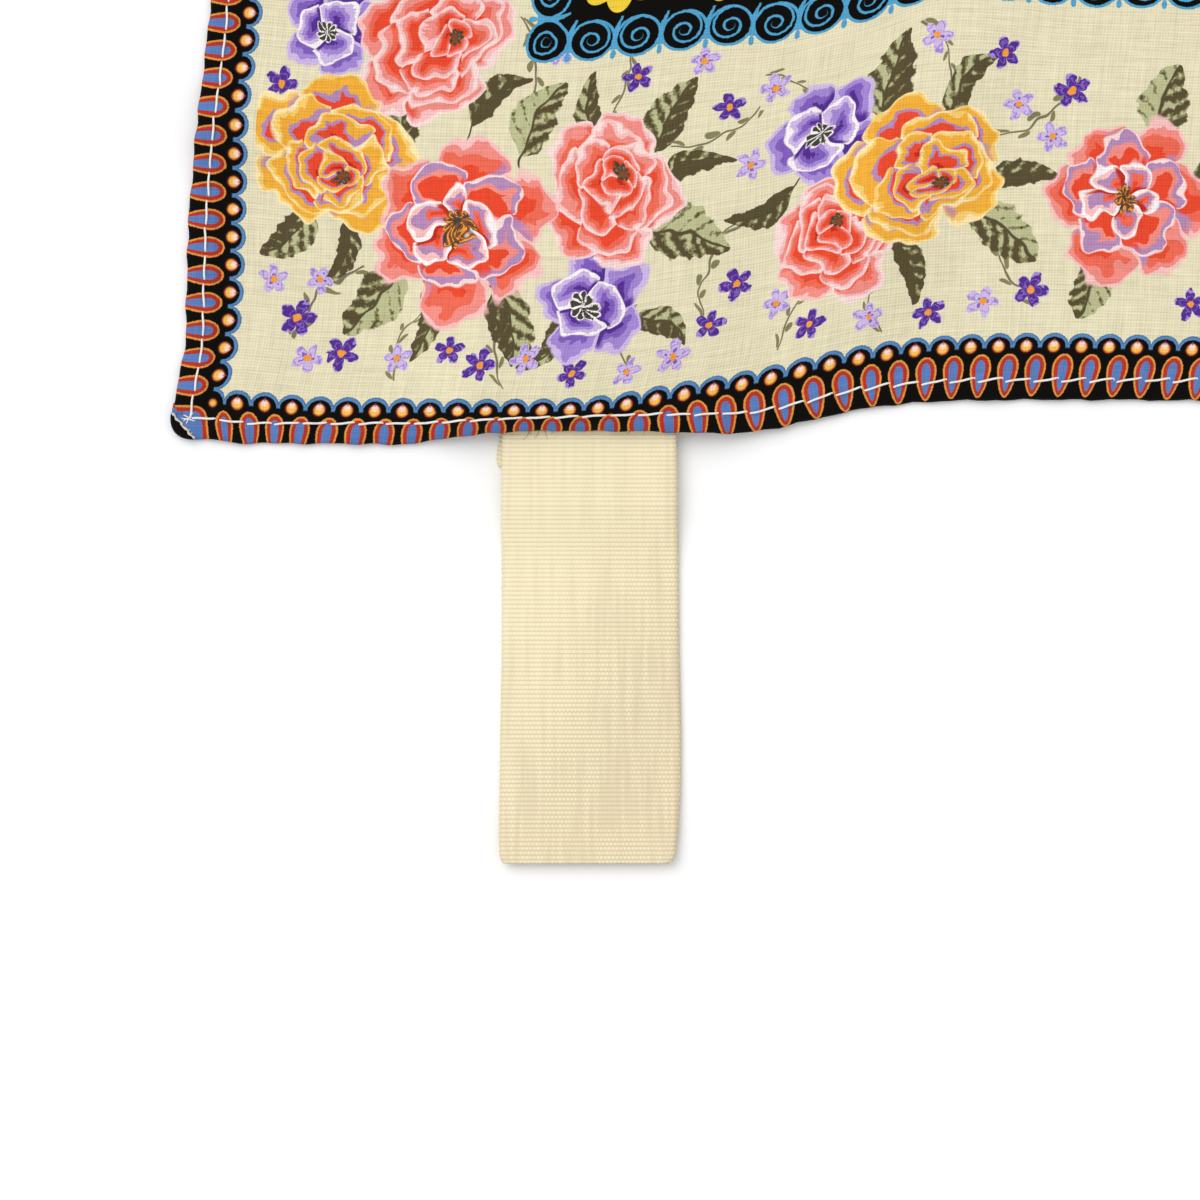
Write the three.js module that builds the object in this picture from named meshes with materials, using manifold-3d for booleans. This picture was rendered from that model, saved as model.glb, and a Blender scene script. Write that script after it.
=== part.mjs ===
// A printed cotton bandana scarf, laid face up on a surface, with its woven care label.
// Millimetres, +Z up. X runs along the bottom hem and Y up the left hem, so the label hangs towards -Y.
// The scarf is one square of cloth. Its four sides are turned under and sewn as narrow hems, each corner
// is folded in, and a short tape label is caught in the bottom hem near the left corner.
import * as THREE from "three";
import { mergeVertices } from "three/addons/utils/BufferGeometryUtils.js";
import Module from "manifold-3d";

const wasm = await Module();
wasm.setup();
const { lerp, clamp, smoothstep, degToRad } = THREE.MathUtils;

// Driving sizes. u and v are distances on the flat cloth from the left and bottom rows of border dots.
const DOT_PITCH = 3.97;
const DOTS_A_SIDE = 132;
const PRINT_SIDE = DOT_PITCH * DOTS_A_SIDE;
const CLOTH_WALL = 1.0;
const HEM_WALL = 1.8;
const HEM_WIDTH = 4.0;
const HEM_NOSE = 0.9; // how far the outer fold takes to reach the hem's full thickness
const CORNER_RADIUS = 2.8;
const SEAM_GAP = 0.3;
const LABEL_WALL = 1.0;

// Where the four rows of border dots lie, seen from above: at is the place along the side, and off is how far
// the row is from the side's own zero. The cloth is laid by hand, so no row is quite straight.
const LEFT_DOTS = [
  { at: -6, off: 4.4 },
  { at: 5.7, off: 5.4 },
  { at: 13.4, off: 7.1 },
  { at: 21.5, off: 7.9 },
  { at: 33.7, off: 8.3 },
  { at: 46.3, off: 8.7 },
  { at: 61, off: 10.6 },
  { at: 90, off: 13.6 },
  { at: 150, off: 15.8 },
  { at: 235, off: 13.2 },
  { at: 330, off: 8.8 },
  { at: 430, off: 6.4 },
  { at: 540, off: 5.6 },
];
const BOTTOM_DOTS = [
  { at: -6, off: 5.6 },
  { at: 8.8, off: 5.3 },
  { at: 20.5, off: 4.4 },
  { at: 44, off: 4.15 },
  { at: 60, off: 4.5 },
  { at: 72, off: 6.4 },
  { at: 84, off: 8.6 },
  { at: 96, off: 11.4 },
  { at: 108, off: 13.0 },
  { at: 126, off: 13.5 },
  { at: 165, off: 12.2 },
  { at: 240, off: 8.6 },
  { at: 340, off: 5.2 },
  { at: 440, off: 4.6 },
  { at: 540, off: 5.8 },
];
const RIGHT_DOTS = [
  { at: -6, off: 5.0 },
  { at: 110, off: 8.8 },
  { at: 250, off: 4.0 },
  { at: 390, off: 8.4 },
  { at: 540, off: 6.0 },
];
const TOP_DOTS = [
  { at: -6, off: 5.0 },
  { at: 130, off: 2.4 },
  { at: 270, off: 6.6 },
  { at: 400, off: 3.2 },
  { at: 540, off: 6.4 },
];

// How far outside its row of dots each side's cloth is folded under, measured on the cloth.
const LEFT_FOLD = [
  { at: -6, off: 5.6 },
  { at: 1, off: 5.45 },
  { at: 8, off: 5.75 },
  { at: 15, off: 6.2 },
  { at: 25.5, off: 6.3 },
  { at: 42, off: 5.4 },
  { at: 61, off: 5.8 },
  { at: 140, off: 6.6 },
  { at: 240, off: 6.0 },
  { at: 360, off: 6.8 },
  { at: 540, off: 6.0 },
];
const BOTTOM_FOLD = [
  { at: -6, off: 5.1 },
  { at: 1, off: 5.3 },
  { at: 5, off: 5.6 },
  { at: 15, off: 4.8 },
  { at: 27, off: 4.7 },
  { at: 36, off: 4.4 },
  { at: 46, off: 3.6 },
  { at: 60, off: 4.0 },
  { at: 70, off: 5.9 },
  { at: 79, off: 7.2 },
  { at: 95, off: 7.4 },
  { at: 120, off: 7.8 },
  { at: 180, off: 6.4 },
  { at: 260, off: 7.0 },
  { at: 370, off: 6.2 },
  { at: 540, off: 6.0 },
];
const RIGHT_FOLD = [
  { at: -6, off: 6.0 },
  { at: 130, off: 6.8 },
  { at: 270, off: 6.0 },
  { at: 410, off: 6.7 },
  { at: 540, off: 6.0 },
];
const TOP_FOLD = [
  { at: -6, off: 6.0 },
  { at: 110, off: 6.6 },
  { at: 290, off: 5.9 },
  { at: 430, off: 6.8 },
  { at: 540, off: 6.1 },
];

// The cloth is lifted where the label is sewn in, and its edge rolls down towards the label there.
const LIFT = { from: 33, rises: 45, falls: 73.5, to: 88, high: 2.65 };
const ROLL = { from: 27, rises: 43, falls: 54, to: 76, slope: 0.62, ends: 4, reach: 48 };

// Soft ridges in the laid cloth: x and y are the middle, turn is the heading in degrees from +X,
// long and wide are half lengths, and high is the rise. Between them the cloth is flat on the surface.
const RIDGES = [
  { x: 100, y: 31, turn: 62, long: 46, wide: 13, high: 1.8 },
  { x: 1, y: 44, turn: 8, long: 30, wide: 10, high: 1.6 },
  { x: 168, y: 34, turn: 84, long: 52, wide: 16, high: 3.4 },
  { x: 247, y: 22, turn: 101, long: 40, wide: 15, high: 2.6 },
  { x: 331, y: 40, turn: 78, long: 66, wide: 19, high: 4.2 },
  { x: 418, y: 24, turn: 96, long: 44, wide: 14, high: 2.8 },
  { x: 497, y: 46, turn: 128, long: 62, wide: 18, high: 3.2 },
  { x: 512, y: 138, turn: 170, long: 48, wide: 17, high: 3.6 },
  { x: 520, y: 236, turn: 186, long: 40, wide: 14, high: 2.4 },
  { x: 498, y: 341, turn: 164, long: 64, wide: 20, high: 4.4 },
  { x: 521, y: 437, turn: 178, long: 38, wide: 14, high: 2.6 },
  { x: 468, y: 508, turn: 66, long: 56, wide: 17, high: 3.2 },
  { x: 372, y: 519, turn: 94, long: 40, wide: 15, high: 2.6 },
  { x: 279, y: 502, turn: 82, long: 60, wide: 19, high: 4.0 },
  { x: 183, y: 520, turn: 98, long: 42, wide: 14, high: 2.4 },
  { x: 78, y: 500, turn: 122, long: 62, wide: 18, high: 3.4 },
  { x: 22, y: 410, turn: 6, long: 46, wide: 16, high: 3.0 },
  { x: 34, y: 306, turn: 172, long: 60, wide: 19, high: 3.8 },
  { x: 27, y: 208, turn: 4, long: 42, wide: 15, high: 2.6 },
  { x: 30, y: 122, turn: 166, long: 50, wide: 16, high: 2.8 },
  { x: 352, y: 262, turn: 38, long: 120, wide: 22, high: 2.6 },
  { x: 190, y: 372, turn: 140, long: 96, wide: 20, high: 2.2 },
];

// A smooth curve through a table's rows.
function along(rows, at) {
  const last = rows.length - 1;
  const place = clamp(at, rows[0].at, rows[last].at);
  const next = Math.max(1, rows.findIndex((row) => row.at >= place));
  const [p, q] = [rows[next - 1], rows[next]];
  const slope = (k) =>
    k === 0 || k === last ? 0 : (rows[k + 1].off - rows[k - 1].off) / (rows[k + 1].at - rows[k - 1].at);
  const run = q.at - p.at;
  const t = (place - p.at) / run;
  const s = t * t * (3 - 2 * t);
  const ease = t * (1 - t) * run;
  return lerp(p.off, q.off, s) + ease * ((1 - t) * slope(next - 1) - t * slope(next));
}

const plateau = (at, shape) =>
  smoothstep(at, shape.from, shape.rises) * (1 - smoothstep(at, shape.falls, shape.to));

function ridgeHeight(x, y) {
  let height = 0;
  for (const ridge of RIDGES) {
    const [c, s] = [Math.cos(degToRad(ridge.turn)), Math.sin(degToRad(ridge.turn))];
    const a = ((x - ridge.x) * c + (y - ridge.y) * s) / ridge.long;
    const b = ((y - ridge.y) * c - (x - ridge.x) * s) / ridge.wide;
    height += ridge.high * Math.max(0, 1 - a * a - b * b) ** 2;
  }
  return height;
}

// Where the underside of the cloth's point (u, v) lies.
function lay(u, v) {
  let [x, y] = [u, v];
  for (let pass = 0; pass < 5; pass++) {
    x = lerp(along(LEFT_DOTS, y), PRINT_SIDE + along(RIGHT_DOTS, y), u / PRINT_SIDE);
    y = lerp(along(BOTTOM_DOTS, x), PRINT_SIDE + along(TOP_DOTS, x), v / PRINT_SIDE);
  }
  const slope = ROLL.slope * plateau(x, ROLL);
  const left = 1 - clamp(v / ROLL.ends, 0, 1); // the share of the roll's easing that is still to come
  const outside = Math.max(0, -v);
  const easing = ROLL.ends / 3;
  const crest = LIFT.high * plateau(x, LIFT) + slope * (easing + along(BOTTOM_FOLD, u));
  const roll = crest * (1 - smoothstep(v, ROLL.ends, ROLL.reach)) - slope * (easing * left ** 3 + outside);
  const pull = outside * (1 - Math.sqrt(1 - slope * slope)) - (slope * slope * ROLL.ends * (1 - left ** 5)) / 10;
  return new THREE.Vector3(x, y + pull, roll + ridgeHeight(x, y + pull));
}

// The point straight above the underside's, so that the wall between them is this thick square to the cloth.
function raised(u, v, thickness) {
  const step = 0.4;
  const across = lay(u + step, v).sub(lay(u - step, v));
  const up = lay(u, v + step).sub(lay(u, v - step));
  const lean = across.cross(up).normalize().z;
  return lay(u, v).add(new THREE.Vector3(0, 0, thickness / lean));
}

// A closed geometry from rings of points. Rings are joined in order and the first and last are capped
// from their middles.
function loft(rings) {
  const size = rings[0].length;
  const points = rings.flat();
  const faces = [];
  for (let r = 0; r + 1 < rings.length; r++)
    for (let k = 0; k < size; k++) {
      const [a, b] = [r * size + k, r * size + ((k + 1) % size)];
      faces.push(a, b, b + size, a, b + size, a + size);
    }
  for (const [r, turned] of [[0, true], [rings.length - 1, false]]) {
    const middle = rings[r].reduce((sum, p) => sum.add(p), new THREE.Vector3()).divideScalar(size);
    const centre = points.push(middle) - 1;
    for (let k = 0; k < size; k++) {
      const [a, b] = [r * size + k, r * size + ((k + 1) % size)];
      faces.push(...(turned ? [a, centre, b] : [a, b, centre]));
    }
  }
  return new THREE.BufferGeometry().setFromPoints(points).setIndex(faces);
}

// A wall from a grid of pairs of points, its underside and its face: grid[row][column] = [under, over].
function wall(grid) {
  const [rows, columns] = [grid.length, grid[0].length];
  const under = (r, c) => r * columns + c;
  const over = (r, c) => rows * columns + r * columns + c;
  const points = [0, 1].flatMap((side) => grid.flatMap((row) => row.map((pair) => pair[side])));
  const faces = [];
  const quad = (a, b, c, d) => faces.push(a, b, c, a, c, d);
  for (let r = 0; r + 1 < rows; r++)
    for (let c = 0; c + 1 < columns; c++) {
      quad(over(r, c), over(r, c + 1), over(r + 1, c + 1), over(r + 1, c));
      quad(under(r, c), under(r + 1, c), under(r + 1, c + 1), under(r, c + 1));
    }
  for (let c = 0; c + 1 < columns; c++) {
    quad(under(0, c), under(0, c + 1), over(0, c + 1), over(0, c));
    quad(under(rows - 1, c + 1), under(rows - 1, c), over(rows - 1, c), over(rows - 1, c + 1));
  }
  for (let r = 0; r + 1 < rows; r++) {
    quad(under(r + 1, 0), under(r, 0), over(r, 0), over(r + 1, 0));
    quad(under(r, columns - 1), under(r + 1, columns - 1), over(r + 1, columns - 1), over(r, columns - 1));
  }
  return new THREE.BufferGeometry().setFromPoints(points).setIndex(faces);
}

// Places along a side, in stretches that each have their own step.
function stations(start, end, stretches) {
  const places = [start];
  for (const { until, step } of stretches) {
    const from = places[places.length - 1];
    const to = Math.min(until, end);
    const count = Math.max(1, Math.round((to - from) / step));
    for (let k = 1; k <= count; k++) places.push(lerp(from, to, k / count));
  }
  return places;
}

// The edges of the cloth and of the open panel inside the hems, in u and v.
const INSET = HEM_WIDTH + SEAM_GAP;
const leftEdge = (v) => -along(LEFT_FOLD, v);
const rightEdge = (v) => PRINT_SIDE + along(RIGHT_FOLD, v);
const bottomEdge = (u) => -along(BOTTOM_FOLD, u);
const topEdge = (u) => PRINT_SIDE + along(TOP_FOLD, u);

function panelPoint(a, b) {
  let [u, v] = [a * PRINT_SIDE, b * PRINT_SIDE];
  for (let pass = 0; pass < 3; pass++) {
    u = lerp(leftEdge(v) + INSET, rightEdge(v) - INSET, a);
    v = lerp(bottomEdge(u) + INSET, topEdge(u) - INSET, b);
  }
  return [u, v];
}

function clothPanel() {
  const columns = stations(0, PRINT_SIDE, [
    { until: 128, step: 6.2 },
    { until: PRINT_SIDE, step: 17 },
  ]);
  const rows = stations(0, PRINT_SIDE, [
    { until: 6, step: 2 },
    { until: 27, step: 4.5 },
    { until: 72, step: 9 },
    { until: PRINT_SIDE, step: 17 },
  ]);
  return wall(
    rows.map((row) =>
      columns.map((column) => {
        const [u, v] = panelPoint(column / PRINT_SIDE, row / PRINT_SIDE);
        return [lay(u, v), raised(u, v, CLOTH_WALL)];
      }),
    ),
  );
}

// The hem's cross-section from its outer fold inwards: w is the distance in from the fold as a share of the
// nose or the width, and h the height above the underside.
function hemSection(start) {
  const full = (HEM_WIDTH - start) / HEM_WIDTH;
  return [
    { w: start, h: 0.5 * HEM_WALL },
    { w: start + 0.28 * HEM_NOSE * full, h: 0.16 * HEM_WALL },
    { w: start + HEM_NOSE * full, h: 0 },
    { w: HEM_WIDTH, h: 0 },
    { w: HEM_WIDTH, h: HEM_WALL },
    { w: start + HEM_NOSE * full, h: HEM_WALL },
    { w: start + 0.28 * HEM_NOSE * full, h: 0.84 * HEM_WALL },
  ];
}

// How much the rounded corner takes off a hem this far from the hem's end.
function cornerCut(fromEnd) {
  const inside = Math.max(0, CORNER_RADIUS - fromEnd);
  return CORNER_RADIUS - Math.sqrt(CORNER_RADIUS ** 2 - inside ** 2);
}

const FINE = { until: 132, step: 5.5 };
const WIDE = { until: 1e3, step: 17 };

// A long hem runs the whole width of the cloth, corners included.
function longHem(edge, inwards) {
  const start = leftEdge(edge(0));
  const end = rightEdge(edge(PRINT_SIDE));
  const bend = [0.1, 0.3, 0.6, 1].map((share) => share * CORNER_RADIUS);
  const places = [
    start,
    ...bend.map((d) => start + d),
    ...stations(start + CORNER_RADIUS, end - CORNER_RADIUS, [inwards > 0 ? FINE : WIDE, WIDE]).slice(1, -1),
    ...bend.map((d) => end - d).reverse(),
    end,
  ];
  const rings = places.map((u) =>
    hemSection(cornerCut(Math.min(u - start, end - u))).map(({ w, h }) => raised(u, edge(u) + inwards * w, h)),
  );
  return loft(inwards > 0 ? rings : rings.reverse());
}

// A short hem runs between the two long ones.
function shortHem(edge, inwards) {
  const middle = edge(0) + (inwards * HEM_WIDTH) / 2;
  const places = stations(bottomEdge(middle) + INSET, topEdge(middle) - INSET, [
    inwards > 0 ? { until: 72, step: 5.5 } : WIDE,
    WIDE,
  ]);
  const rings = places.map((v) => hemSection(0).map(({ w, h }) => raised(edge(v) + inwards * w, v, h)));
  return loft(inwards > 0 ? rings.reverse() : rings);
}

function toSolid(geometry) {
  const bare = geometry.clone();
  bare.deleteAttribute("normal");
  bare.deleteAttribute("uv");
  const merged = mergeVertices(bare, 1e-4);
  return new wasm.Manifold(
    new wasm.Mesh({
      numProp: 3,
      vertProperties: merged.attributes.position.array,
      triVerts: new Uint32Array(merged.index.array),
    }),
  );
}

function toGeometry(solid) {
  const mesh = solid.getMesh();
  return new THREE.BufferGeometry()
    .setAttribute("position", new THREE.BufferAttribute(new Float32Array(mesh.vertProperties), 3))
    .setIndex(new THREE.BufferAttribute(new Uint32Array(mesh.triVerts), 1));
}

// The corner of a hem is a small turned-in tip of its own, parted from the hem by a slanted seam.
const TIP = { alongSide: 3.9, alongBottom: 3.3 };
const KNIFE_REACH = 24;

function cutTips(hem, edge, inwards) {
  let rest = toSolid(hem);
  const tips = [];
  for (const [sideEdge, turn] of [[leftEdge, 1], [rightEdge, -1]]) {
    const [u, v] = [sideEdge(edge(0)), edge(sideEdge(0))];
    const upper = lay(u, v + inwards * TIP.alongSide);
    const lower = lay(u + turn * TIP.alongBottom, v);
    const run = new THREE.Vector3().subVectors(lower, upper);
    const knife = new THREE.BoxGeometry(KNIFE_REACH, SEAM_GAP, KNIFE_REACH);
    knife.rotateZ(Math.atan2(run.y, run.x));
    const middle = upper.add(lower).divideScalar(2);
    knife.translate(middle.x, middle.y, middle.z);
    const pieces = rest.subtract(toSolid(knife)).decompose();
    pieces.sort((a, b) => b.volume() - a.volume());
    rest = pieces[0];
    tips.push(toGeometry(pieces[1]));
  }
  return [toGeometry(rest), ...tips];
}

// The label's tape: its two long edges and its height above the surface, by how far down it is.
const LABEL_ROWS = [
  { y: 4.0, left: 46.9, right: 71.5, z: 1.3 },
  { y: 1.0, left: 46.8, right: 71.6, z: 1.3 },
  { y: -4.0, left: 46.7, right: 71.7, z: 1.3 },
  { y: -9.0, left: 46.6, right: 71.8, z: 1.25 },
  { y: -12.0, left: 46.6, right: 71.8, z: 0.75 },
  { y: -15.5, left: 46.7, right: 71.9, z: 0.2 },
  { y: -18.5, left: 46.7, right: 71.9, z: 0 },
  { y: -30, left: 46.7, right: 72.0, z: 0 },
  { y: -42, left: 46.5, right: 72.3, z: 0 },
  { y: -50, left: 46.4, right: 72.2, z: 0.25 },
  { y: -56, left: 46.3, right: 71.8, z: 0.7 },
  { y: -59.7, left: 46.4, right: 71.5, z: 1.05 },
  { y: -60.3, left: 46.9, right: 71.1, z: 1.1 },
];
const LABEL_COLUMNS = 6;

function careLabel() {
  const grid = LABEL_ROWS.map((row) =>
    Array.from({ length: LABEL_COLUMNS + 1 }, (_, c) => {
      const x = lerp(row.left, row.right, c / LABEL_COLUMNS);
      return [new THREE.Vector3(x, row.y, row.z), new THREE.Vector3(x, row.y, row.z + LABEL_WALL)];
    }),
  );
  return wall(grid.reverse());
}

// The tape's other end is turned back under the label and sits a little askew, so one corner shows.
const TUCK = { cornerX: 45.7, cornerY: -3.5, turn: -10, wide: 24.8, long: 6.6 };

function labelTuck() {
  const tuck = new THREE.BoxGeometry(TUCK.wide, TUCK.long, LABEL_WALL, 4, 2, 1);
  tuck.translate(TUCK.wide / 2, TUCK.long / 2, LABEL_WALL / 2);
  tuck.rotateZ(degToRad(TUCK.turn));
  tuck.translate(TUCK.cornerX, TUCK.cornerY, 0);
  return tuck;
}

const printedCotton = new THREE.MeshStandardMaterial({ color: 0xe3dcbc, roughness: 0.9 });
const borderCotton = new THREE.MeshStandardMaterial({ color: 0x2a2420, roughness: 0.9 });
const labelTape = new THREE.MeshStandardMaterial({ color: 0xf1e5bf, roughness: 0.92 });

const scarf = new THREE.Group();
function add(name, geometry, material) {
  const mesh = new THREE.Mesh(geometry, material);
  mesh.name = name;
  scarf.add(mesh);
}

const [bottomHem, cornerBottomLeft, cornerBottomRight] = cutTips(longHem(bottomEdge, 1), bottomEdge, 1);
const [topHem, cornerTopLeft, cornerTopRight] = cutTips(longHem(topEdge, -1), topEdge, -1);
add("cloth_panel", clothPanel(), printedCotton);
add("hem_bottom", bottomHem, borderCotton);
add("hem_top", topHem, borderCotton);
add("hem_left", shortHem(leftEdge, 1), borderCotton);
add("hem_right", shortHem(rightEdge, -1), borderCotton);
add("corner_bottom_left", cornerBottomLeft, borderCotton);
add("corner_bottom_right", cornerBottomRight, borderCotton);
add("corner_top_left", cornerTopLeft, borderCotton);
add("corner_top_right", cornerTopRight, borderCotton);
add("care_label", careLabel(), labelTape);
add("label_tuck", labelTuck(), labelTape);

// The origin is the middle of the whole scarf's outline, on the surface that it lies on.
const outline = new THREE.Box3().setFromObject(scarf, true);
const middle = outline.getCenter(new THREE.Vector3());
scarf.position.set(-middle.x, -middle.y, -outline.min.z);

export default scarf;
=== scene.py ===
# %% [markdown]
# # A printed cotton bandana, laid flat
# The scarf is one square of thin cotton with a printed border, four narrow stitched hems and a short tape
# label caught in one of them. It lies face up on a pale table, and the camera looks straight down on the
# corner with the label. The model is in metres, and the sizes that a maker would measure are written in
# millimetres.

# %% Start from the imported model
import math

import bmesh
import bpy
import numpy as np
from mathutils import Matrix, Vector


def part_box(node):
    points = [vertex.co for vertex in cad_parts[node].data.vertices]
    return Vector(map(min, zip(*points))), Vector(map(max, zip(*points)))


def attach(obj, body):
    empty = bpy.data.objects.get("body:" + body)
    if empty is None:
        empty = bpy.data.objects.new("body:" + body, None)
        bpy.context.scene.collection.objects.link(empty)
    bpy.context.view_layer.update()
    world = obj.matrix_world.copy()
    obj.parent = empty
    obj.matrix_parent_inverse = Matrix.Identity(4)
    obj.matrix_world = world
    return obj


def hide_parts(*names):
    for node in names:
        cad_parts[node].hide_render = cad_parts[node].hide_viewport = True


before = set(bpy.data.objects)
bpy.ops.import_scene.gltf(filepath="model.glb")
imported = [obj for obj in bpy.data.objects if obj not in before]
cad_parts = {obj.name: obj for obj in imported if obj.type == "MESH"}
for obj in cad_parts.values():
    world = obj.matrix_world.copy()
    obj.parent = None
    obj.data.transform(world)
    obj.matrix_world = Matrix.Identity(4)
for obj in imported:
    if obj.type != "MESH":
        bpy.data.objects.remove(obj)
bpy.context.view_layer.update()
MM = 0.001

# %% [markdown]
# ## One drawing for the cloth and its print
# The print's own coordinates are u along the bottom row of border dots and v up the left row. The cloth was
# laid by hand, so those rows wander. The same short tables that shaped the solids say where each row lies and
# how far outside it the cloth is folded under, so the fine cloth goes exactly where the solids are.

# %% The scarf's own drawing, in millimetres
LABEL_CORNER = Vector((46.3, -60.3, 0))  # the label's low left end, in the drawing
DRAWING_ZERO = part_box("care_label")[0] - LABEL_CORNER * MM
DOT_PITCH = 3.97
DOTS_A_SIDE = 132
PRINT_SIDE = DOT_PITCH * DOTS_A_SIDE
HEM_WIDTH = 4.0

# Each row is a place along the side, and how far off its zero the row of dots is there.
LEFT_DOTS = [(-6, 4.4), (5.7, 5.4), (13.4, 7.1), (21.5, 7.9), (33.7, 8.3), (46.3, 8.7), (61, 10.6),
             (90, 13.6), (150, 15.8), (235, 13.2), (330, 8.8), (430, 6.4), (540, 5.6)]
BOTTOM_DOTS = [(-6, 5.6), (8.8, 5.3), (20.5, 4.4), (44, 4.15), (60, 4.5), (72, 6.4), (84, 8.6), (96, 11.4),
               (108, 13.0), (126, 13.5), (165, 12.2), (240, 8.6), (340, 5.2), (440, 4.6), (540, 5.8)]
RIGHT_DOTS = [(-6, 5.0), (110, 8.8), (250, 4.0), (390, 8.4), (540, 6.0)]
TOP_DOTS = [(-6, 5.0), (130, 2.4), (270, 6.6), (400, 3.2), (540, 6.4)]

# Each row is a place along the side, and how far outside the dots the cloth is folded under.
LEFT_FOLD = [(-6, 5.6), (1, 5.45), (8, 5.75), (15, 6.2), (25.5, 6.3), (42, 5.4), (61, 5.8), (140, 6.6),
             (240, 6.0), (360, 6.8), (540, 6.0)]
BOTTOM_FOLD = [(-6, 5.1), (1, 5.3), (5, 5.6), (15, 4.8), (27, 4.7), (36, 4.4), (46, 3.6), (60, 4.0),
               (70, 5.9), (79, 7.2), (95, 7.4), (120, 7.8), (180, 6.4), (260, 7.0), (370, 6.2), (540, 6.0)]
RIGHT_FOLD = [(-6, 6.0), (130, 6.8), (270, 6.0), (410, 6.7), (540, 6.0)]
TOP_FOLD = [(-6, 6.0), (110, 6.6), (290, 5.9), (430, 6.8), (540, 6.1)]

# The cloth is lifted where the label is sewn in, and its edge rolls down towards the label there. Four places
# along the side say where the lift or the roll starts, is whole, fades and ends.
LIFT = (33, 45, 73.5, 88)
LIFT_HIGH = 2.65
ROLL = (27, 43, 54, 76)
ROLL_SLOPE = 0.62
ROLL_ENDS = 4  # how far in from the dots the roll's slope is gone
ROLL_REACH = 48  # how far in the lift is gone
DROP_LEAN = 1.1  # how much the drops lean with the bottom row's slope, and by how much more at the corner
CORNER_LEAN = 0.22

# Soft ridges: middle x and y, heading in degrees, half length, half width and height.
RIDGES = [
    (100, 31, 62, 46, 13, 1.8), (1, 44, 8, 30, 10, 1.6), (168, 34, 84, 52, 16, 3.4),
    (247, 22, 101, 40, 15, 2.6), (331, 40, 78, 66, 19, 4.2), (418, 24, 96, 44, 14, 2.8),
    (497, 46, 128, 62, 18, 3.2),
    (512, 138, 170, 48, 17, 3.6), (520, 236, 186, 40, 14, 2.4), (498, 341, 164, 64, 20, 4.4),
    (521, 437, 178, 38, 14, 2.6), (468, 508, 66, 56, 17, 3.2), (372, 519, 94, 40, 15, 2.6),
    (279, 502, 82, 60, 19, 4.0), (183, 520, 98, 42, 14, 2.4), (78, 500, 122, 62, 18, 3.4),
    (22, 410, 6, 46, 16, 3.0), (34, 306, 172, 60, 19, 3.8), (27, 208, 4, 42, 15, 2.6),
    (30, 122, 166, 50, 16, 2.8), (352, 262, 38, 120, 22, 2.6), (190, 372, 140, 96, 20, 2.2),
]

# Each row is a place along the bottom, and how far below its straight course the black field's near edge is.
FIELD_LAY = [(52, -0.4), (62, 0), (69, 0.3), (76, 1.2), (86, 1.1), (92, 0.1), (97, -1.2), (103, -1.3),
             (110, -0.7), (118, 0), (130, 0)]
FIELD_BENDS = (36, 48, 80, 110)  # how far up those bends start, are whole, fade and end


def along(rows, at):
    """A smooth curve through a table's rows."""
    places, offs = (np.array(column, float) for column in zip(*rows))
    slopes = np.zeros(len(rows))
    slopes[1:-1] = (offs[2:] - offs[:-2]) / (places[2:] - places[:-2])
    at = np.clip(at, places[0], places[-1])
    p = np.clip(np.searchsorted(places, at) - 1, 0, len(rows) - 2)
    run = places[p + 1] - places[p]
    t = (at - places[p]) / run
    rise = offs[p] + (offs[p + 1] - offs[p]) * t * t * (3 - 2 * t)
    return rise + t * (1 - t) * run * ((1 - t) * slopes[p] - t * slopes[p + 1])


def smooth(x, low, high):
    t = np.clip((x - low) / (high - low), 0, 1)
    return t * t * (3 - 2 * t)


def plateau(x, shape):
    """0 outside a shape's four places, 1 between the middle two, smooth between."""
    return smooth(x, shape[0], shape[1]) * (1 - smooth(x, shape[2], shape[3]))


def ridges(x, y):
    """How high the soft ridges lift the cloth."""
    height = 0 * x
    for middle_x, middle_y, turn, long, wide, high in RIDGES:
        c, s = math.cos(math.radians(turn)), math.sin(math.radians(turn))
        a = ((x - middle_x) * c + (y - middle_y) * s) / long
        b = ((y - middle_y) * c - (x - middle_x) * s) / wide
        height = height + high * np.maximum(0, 1 - a * a - b * b) ** 2
    return height


def left_edge(v):
    return -along(LEFT_FOLD, v)


def right_edge(v):
    return PRINT_SIDE + along(RIGHT_FOLD, v)


def bottom_edge(u):
    return -along(BOTTOM_FOLD, u)


def top_edge(u):
    return PRINT_SIDE + along(TOP_FOLD, u)


def lay(u, v):
    """Where the underside of the cloth's point (u, v) lies in the drawing: x, y and z."""
    u, v = np.broadcast_arrays(np.asarray(u, float), np.asarray(v, float))
    x, y = u, v
    for _ in range(5):
        left, right = along(LEFT_DOTS, y), PRINT_SIDE + along(RIGHT_DOTS, y)
        x = left + (right - left) * u / PRINT_SIDE
        low, high = along(BOTTOM_DOTS, x), PRINT_SIDE + along(TOP_DOTS, x)
        y = low + (high - low) * v / PRINT_SIDE
    slope = ROLL_SLOPE * plateau(x, ROLL)
    left = 1 - np.clip(v / ROLL_ENDS, 0, 1)
    outside = np.maximum(0, -v)
    easing = ROLL_ENDS / 3
    crest = LIFT_HIGH * plateau(x, LIFT) + slope * (easing + along(BOTTOM_FOLD, u))
    roll = crest * (1 - smooth(v, ROLL_ENDS, ROLL_REACH)) - slope * (easing * left**3 + outside)
    pull = outside * (1 - np.sqrt(1 - slope * slope)) - slope * slope * ROLL_ENDS * (1 - left**5) / 10
    return x, y + pull, roll + ridges(x, y + pull)


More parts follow.
